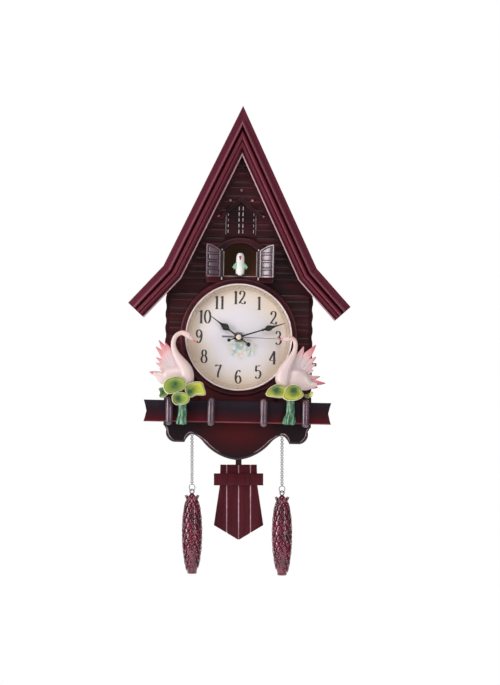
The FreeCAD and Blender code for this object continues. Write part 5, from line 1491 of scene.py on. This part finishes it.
def feather(root, tip, wide, y, thick=1.8):
    """One pointed feather, thickest along its middle."""
    a, b = Vector(root), Vector(tip)
    way = b - a
    side = Vector((-way[1], way[0])).normalized() * wide
    outline = [a - side * 0.35, a + way * 0.3 - side * 0.5, a + way * 0.62 - side * 0.46,
               a + way * 0.85 - side * 0.26, b - side * 0.06, b + side * 0.06,
               a + way * 0.85 + side * 0.22,
               a + way * 0.62 + side * 0.46, a + way * 0.3 + side * 0.5, a + side * 0.35]
    return drawn(spots(*outline), y + thick * MM, y, thick * 0.45 * MM, 3)


def swan_finish(name, x, z):
    """Pearly resin: near white on the body, peach on the back of the neck and coral at the feather tips."""
    f = Finish(name, Coat_Roughness=0.12)
    dx, dz = f.axis("X") - x * MM, f.axis("Z") - up(z)
    away = (dx * dx + dz * dz) ** 0.5 / (46 * MM)
    cloud = f.noise(120.0, 3.0)
    barb = f.noise(1.0, 3.0, f.moved(scale=(500, 500, 160)))
    tone = f.ramp(away + (cloud - 0.5) * 0.30, (0.30, (0.74, 0.60, 0.62)),
                  (0.52, (0.82, 0.52, 0.52)),
                  (0.70, (0.78, 0.27, 0.30)), (0.92, (0.66, 0.13, 0.19)))
    return f.paint(Base_Color=tone, Roughness=0.3 + 0.12 * cloud, Coat_Weight=0.3,
                   Normal=f.bump(barb, 0.35, 0.0006))


def neck_finish(name, x, z):
    f = Finish(name, Coat_Roughness=0.12)
    dx, dz = f.axis("X") - x * MM, f.axis("Z") - up(z)
    away = (dx * dx + dz * dz) ** 0.5 / MM
    cloud = f.noise(90.0, 3.0)
    tone = f.ramp(away / 30.0 + (cloud - 0.5) * 0.3, (0.05, (0.82, 0.16, 0.22)),
                  (0.13, (0.88, 0.34, 0.36)),
                  (0.22, (0.84, 0.64, 0.65)), (0.6, (0.86, 0.60, 0.53)), (1.0, (0.82, 0.64, 0.63)))
    return f.paint(Base_Color=tone, Roughness=0.28 + 0.12 * cloud, Coat_Weight=0.35,
                   Normal=f.bump(f.noise(500.0, 2.0), 0.1, 0.0003))


def swan(side, neck, beak, body, feathers, tail, eye):
    y = SWAN_Y
    limbs = [strand(neck, "neck", y - 2.4 * MM, 0.86), strand(beak, "beak", y - 2.4 * MM, 0.9),
             strand(body, "body", y - 0.4 * MM, 0.46, 6)]
    settled(joined(limbs), "swan_%s_body" % side,
            neck_finish("swan_%s_pearl" % side, *beak[-1][:2]), "case",
            ["swan_" + side], 70)
    plumes = []
    for i, (root, tip, wide) in enumerate(feathers):
        plumes.append(feather(root, tip, wide, y + (-1.6 + 0.55 * i) * MM))
    for i, (root, tip, wide) in enumerate(tail):
        plumes.append(feather(root, tip, wide, y + (0.4 + 0.6 * i) * MM))
    middle = feathers[0][0]
    settled(joined(plumes), "swan_%s_feathers" % side,
            swan_finish("swan_%s_plumes" % side, *middle), "case",
            smooth=70)
    dot = turned_on([(0, -0.5 * MM), (0.4 * MM, -0.4 * MM), (0.6 * MM, 0.0), (0, 0.0)],
                    (eye[0] * MM, y - 5.0 * MM, up(eye[1])), "Y", 16)
    dark = gloss("swan_%s_eye_black" % side, (0.01, 0.01, 0.012), (0.03, 0.028, 0.03), 0.2, 200.0,
                 0.6)
    settled(dot, "swan_%s_eye" % side, dark, "case")


def leaf_finish(name, x, z, reach, deep, fresh):
    """Green glaze, deeper in the cup of the leaf and yellow towards its edge, with spreading veins."""
    f = Finish(name, Coat_Roughness=0.06)
    dx, dz = f.axis("X") - x * MM, f.axis("Z") - up(z)
    away = (dx * dx + dz * dz) ** 0.5 / (reach * MM)
    cloud = f.noise(150.0, 4.0)
    tone = f.ramp(away + (cloud - 0.5) * 0.7, (0.12, deep),
                  (0.48, tuple((a + b) / 2 for a, b in zip(deep, fresh))),
                  (0.85, fresh))
    return f.paint(Base_Color=tone, Roughness=0.2 + 0.12 * cloud, Coat_Weight=0.7 - 0.2 * cloud,
                   Normal=f.bump(cloud, 0.4, 0.0008))


def leaf(side, k, outline, middle, y, fresh, node=()):
    """A cupped leaf: a cream rim raised round a green face that sinks towards its middle."""
    closed = smooth_line(list(outline) + [outline[0]], 4)[:-1]
    line([(x * MM, y + 3.2 * MM, up(z)) for x, z in closed])
    ops.mesh.edge_face_add()
    ops.mesh.extrude_region_move(TRANSFORM_OT_translate={"value": (0, -2.4 * MM, 0)})
    ops.mesh.extrude_region_move(TRANSFORM_OT_translate={"value": (0, -0.6 * MM, 0)})
    ops.transform.resize(value=(0.93, 1, 0.91))
    ops.mesh.extrude_region_move(TRANSFORM_OT_translate={"value": (0, 1.9 * MM, 0)})
    ops.transform.resize(value=(0.95, 1, 0.94))
    rim = done()
    cream = gloss("leaf_%s_%d_cream" % (side, k), (0.70, 0.70, 0.38), (0.88, 0.88, 0.62), 0.3,
                  120.0, 0.4)
    settled(rim, "lily_%s_rim_%d" % (side, k), cream, "case", list(node), 70)
    cx = sum(x for x, z in closed) / len(closed)
    cz = sum(z for x, z in closed) / len(closed)
    inner = [(cx + (x - cx) * 0.87, cz + (z - cz) * 0.84) for x, z in closed]
    line([(x * MM, y + 2.6 * MM, up(z)) for x, z in inner])
    ops.mesh.edge_face_add()
    ops.mesh.extrude_region_move(TRANSFORM_OT_translate={"value": (0, -2.45 * MM, 0)})
    for share, sink in ((0.85, 0.40), (0.80, 0.35), (0.72, 0.25), (0.60, 0.12)):
        ops.mesh.extrude_region_move(TRANSFORM_OT_translate={"value": (0, sink * MM, 0)})
        ops.transform.resize(value=(share, 1, share))
    face = done()
    reach = max(math.hypot(x - cx, z - cz) for x, z in closed)
    glaze = leaf_finish("leaf_%s_%d_glaze" % (side, k), middle[0], middle[1], reach,
                        (0.040, 0.115, 0.045), fresh)
    settled(face, "lily_%s_face_%d" % (side, k), glaze, "case", smooth=70)


def stem(side, foot, heart, spread):
    """Three ribbed stalks pressed together, splayed at the foot."""
    stalks = []
    for k in (-1, 0, 1):
        way = [(heart[0] + k * 2.2, heart[1] + 1.0, 3.0),
               (heart[0] + k * 2.4, (heart[1] + foot[1]) / 2, 2.9),
               (foot[0] + k * spread * 0.75, foot[1] + 6.0, 3.3),
               (foot[0] + k * spread, foot[1] + 0.6, 3.1)]
        stalks.append(strand(way, "stalk", LEAF_FRONT + (12.6 + 0.8 * abs(k)) * MM, 0.95))
    f = Finish("stem_%s_green" % side, Coat_Roughness=0.1)
    ridge = f.noise(1.0, 4.0, f.moved(rotation=(0, 0.45, 0), scale=(420, 300, 130)), 0.6)
    f.paint(Base_Color=f.ramp(ridge, (0.36, (0.012, 0.060, 0.030)), (0.50, (0.050, 0.19, 0.085)),
                              (0.64, (0.28, 0.46, 0.34))),
            Roughness=0.32 + 0.1 * ridge, Coat_Weight=0.5, Normal=f.bump(ridge, 0.7, 0.0012))
    settled(joined(stalks), "lily_%s_stem" % side, f.made, "case", smooth=70)


def swans():
    swan("left",
         ((-57.6, -2.6, 2.6), (-59.6, -0.2, 3.7), (-63.7, 2.6, 3.7), (-69.5, 3.8, 2.8),
          (-75.4, 0.6, 2.8),
          (-78.6, -5.6, 2.9), (-78.8, -12.7, 3.2), (-75.6, -21.7, 4.2), (-69.6, -31.2, 6.2),
          (-63.4, -41.0, 8.0),
          (-61.5, -52.0, 8.2), (-65.0, -60.0, 5.0)),
         ((-58.8, -1.4, 2.7), (-56.2, -3.8, 1.9), (-53.2, -6.2, 1.0), (-51.8, -7.6, 0.35)),
         ((-58.0, -54.0, 4.0), (-62.5, -52.5, 9.0), (-72.0, -50.0, 13.0), (-82.0, -50.0, 12.0),
          (-90.0, -51.0, 8.2), (-97.0, -48.0, 4.0), (-103.0, -45.6, 1.6)),
         [((-72.0, -40.0), (-89.3, -7.8), 8.0), ((-73.0, -40.0), (-96.7, -5.8), 9.0),
          ((-74.0, -42.0), (-100.0, -13.6), 9.0), ((-74.0, -44.0), (-99.6, -26.6), 8.5),
          ((-74.0, -46.0), (-99.6, -33.2), 8.5), ((-74.0, -49.0), (-95.4, -40.2), 8.5)],
         [((-80.0, -52.0), (-107.3, -44.2), 9.0), ((-80.0, -54.0), (-101.0, -43.6), 8.0),
          ((-82.0, -57.0), (-97.0, -50.6), 9.0)], (-58.6, 0.8))
    swan("right",
         ((59.6, -1.6, 2.4), (61.2, -0.9, 2.9), (64.2, -0.4, 2.8), (67.6, -2.8, 2.6),
          (69.0, -8.0, 2.7),
          (68.2, -14.9, 3.0), (65.6, -22.0, 4.2), (60.8, -31.2, 6.2), (56.6, -40.5, 8.4),
          (54.4, -50.0, 9.4),
          (56.0, -60.0, 6.5)),
         ((60.6, -1.2, 2.7), (57.0, -1.5, 2.2), (51.6, -1.8, 1.3), (47.8, -1.9, 0.4)),
         ((50.5, -54.0, 5.0), (57.0, -53.0, 10.5), (67.0, -50.5, 14.0), (77.0, -52.0, 12.5),
          (84.5, -55.0, 8.6), (90.0, -56.0, 4.6), (96.0, -55.6, 2.0)),
         [((67.0, -40.0), (78.9, -9.8), 9.0), ((69.0, -40.0), (93.4, -7.9), 10.0),
          ((70.0, -42.0), (94.0, -22.4), 9.0), ((70.0, -44.0), (93.4, -31.0), 8.5),
          ((71.0, -46.0), (91.2, -38.2), 8.5), ((72.0, -49.0), (88.9, -44.4), 8.0)],
         [((76.0, -53.0), (106.0, -54.0), 7.5), ((76.0, -52.0), (99.4, -45.8), 7.0),
          ((76.0, -55.0), (97.0, -59.4), 7.5)], (61.6, 0.4))
    y = LEAF_FRONT
    lime, gold, grass = (0.40, 0.50, 0.075), (0.56, 0.56, 0.070), (0.14, 0.24, 0.040)
    leaf("left", 1, ((-90.6, -62.4), (-88.7, -55.3), (-82.9, -50.7), (-73.4, -48.6), (-64.6, -51.8),
                     (-62.2, -58.8), (-66.2, -65.0), (-73.5, -67.9), (-80.5, -70.2),
                     (-86.8, -69.0)),
         (-76.2, -59.6), y + 0.6 * MM, lime, ["lily_left"])
    leaf("left", 2, ((-64.5, -60.9), (-58.6, -56.8), (-50.5, -54.6), (-43.4, -55.5), (-40.6, -61.5),
                     (-38.4, -70.0), (-44.1, -71.4), (-50.2, -71.3), (-56.2, -74.0),
                     (-62.4, -69.0)),
         (-58.0, -66.0), y + 1.4 * MM, gold)
    leaf("left", 3, ((-79.6, -73.3), (-76.5, -69.2), (-68.4, -67.6), (-60.6, -69.9), (-57.6, -73.9),
                     (-59.4, -80.0), (-66.1, -83.0), (-74.2, -83.4), (-78.6, -79.4)),
         (-71.5, -76.0), y + 0.1 * MM, lime)
    leaf("left", 4, ((-96.1, -63.8), (-89.8, -61.9), (-85.6, -66.4), (-84.5, -71.4), (-90.5, -75.6),
                     (-95.0, -73.6), (-93.8, -69.2)), (-92.0, -68.0), y + 3.2 * MM, grass)
    leaf("right", 1, ((33.6, -67.8), (38.3, -60.6), (47.8, -55.9), (55.4, -57.4), (61.0, -62.5),
                      (59.7, -70.7), (51.6, -72.8), (42.5, -71.9), (35.8, -70.8)),
         (47.0, -62.5), y + 1.2 * MM, gold, ["lily_right"])
    leaf("right", 2, ((57.5, -61.6), (61.4, -57.2), (68.5, -55.6), (74.6, -58.3), (77.7, -63.8),
                      (79.8, -68.2), (76.9, -72.4), (68.9, -75.5), (59.8, -75.4), (54.4, -72.0),
                      (55.8, -66.7)),
         (67.5, -62.5), y + 0.4 * MM, gold)
    leaf("right", 3, ((81.0, -67.4), (85.9, -67.1), (88.3, -64.3), (91.2, -65.2), (89.8, -70.1),
                      (85.0, -72.2), (81.9, -71.2)), (84.0, -70.0), y + 2.8 * MM, gold)
    stem("left", (-67.2, -107.6), (-66.4, -81.0), 3.8)
    stem("right", (63.2, -105.4), (64.4, -76.0), 5.8)


# ---------------------------------------------------------------- floor, light and camera
FLOOR_Z = -0.75
FAR = 4.0
FIELD = 0.834
LEAN = math.radians(1.1)


def floor():
    ops.mesh.primitive_plane_add(size=2.6, location=(0, 0, FLOOR_Z))
    editing()
    ops.mesh.subdivide(number_cuts=8)
    ops.object.mode_set(mode="OBJECT")
    plane = bpy.context.object
    plane.name = "floor"
    pale = Finish("pale_floor", Emission_Color=(1.0, 1.0, 1.0, 1.0), Emission_Strength=0.45)
    speck = pale.noise(3.0, 4.0)
    pale.paint(Base_Color=pale.ramp(speck, (0.4, (0.86, 0.86, 0.86)), (0.6, (0.92, 0.92, 0.92))),
               Roughness=0.8)
    plane.data.materials.append(pale.made)


def lamp(name, place, target, size, watts):
    light = bpy.data.lights.new(name, "AREA")
    light.shape = "RECTANGLE"
    light.size, light.size_y = size
    light.energy = watts
    holder = bpy.data.objects.new(name, light)
    bpy.context.scene.collection.objects.link(holder)
    holder.location = place
    holder.rotation_euler = (Vector(target) - Vector(place)).to_track_quat("-Z", "Y").to_euler()


def studio():
    middle = (0, 0, -0.15)
    lamp("side_light", (-1.7, -1.05, 0.1), middle, (0.7, 1.5), 25)
    lamp("strip_light", (1.5, -2.0, 0.1), middle, (0.25, 1.5), 12)
    lamp("top_light", (-0.3, -1.8, 1.5), middle, (1.6, 0.9), 17)
    lamp("back_light", (0.0, 2.2, 0.6), middle, (1.6, 1.6), 14)
    world = bpy.data.worlds.new("white_room")
    world.use_nodes = True
    tree = world.node_tree
    shell = tree.nodes["Background"]
    shell.inputs["Color"].default_value = (1.0, 1.0, 1.0, 1.0)
    shell.inputs["Strength"].default_value = 0.13
    seen = tree.nodes.new("ShaderNodeBackground")
    seen.inputs["Color"].default_value = (1.0, 1.0, 1.0, 1.0)
    either = tree.nodes.new("ShaderNodeMixShader")
    tree.links.new(tree.nodes.new("ShaderNodeLightPath").outputs["Is Camera Ray"], either.inputs[0])
    tree.links.new(shell.outputs[0], either.inputs[1])
    tree.links.new(seen.outputs[0], either.inputs[2])
    tree.links.new(either.outputs[0], tree.nodes["World Output"].inputs["Surface"])
    bpy.context.scene.world = world
    bpy.context.scene.view_settings.view_transform = "Standard"


def camera():
    lens = bpy.data.cameras.new("camera")
    lens.sensor_width = 36.0
    lens.lens = lens.sensor_width * FAR / FIELD
    lens.clip_end = 60
    holder = bpy.data.objects.new("camera", lens)
    bpy.context.scene.collection.objects.link(holder)
    holder.location = (0.01376, -0.065 - FAR, DIAL_Z - 6.3 * MM)
    holder.rotation_euler = (math.pi / 2, -LEAN, 0)
    bpy.context.scene.camera = holder


def everything():
    camera()
    studio()
    floor()
    roof()
    siding()
    case_boards()
    dial_seat()
    dial_face()
    hands()
    doorway()
    shutters()
    bird()
    gable_window()
    pediment()
    rail()
    posts()
    apron()
    pendulum()
    pine_cones()
    swans()
    inner_works()


everything()
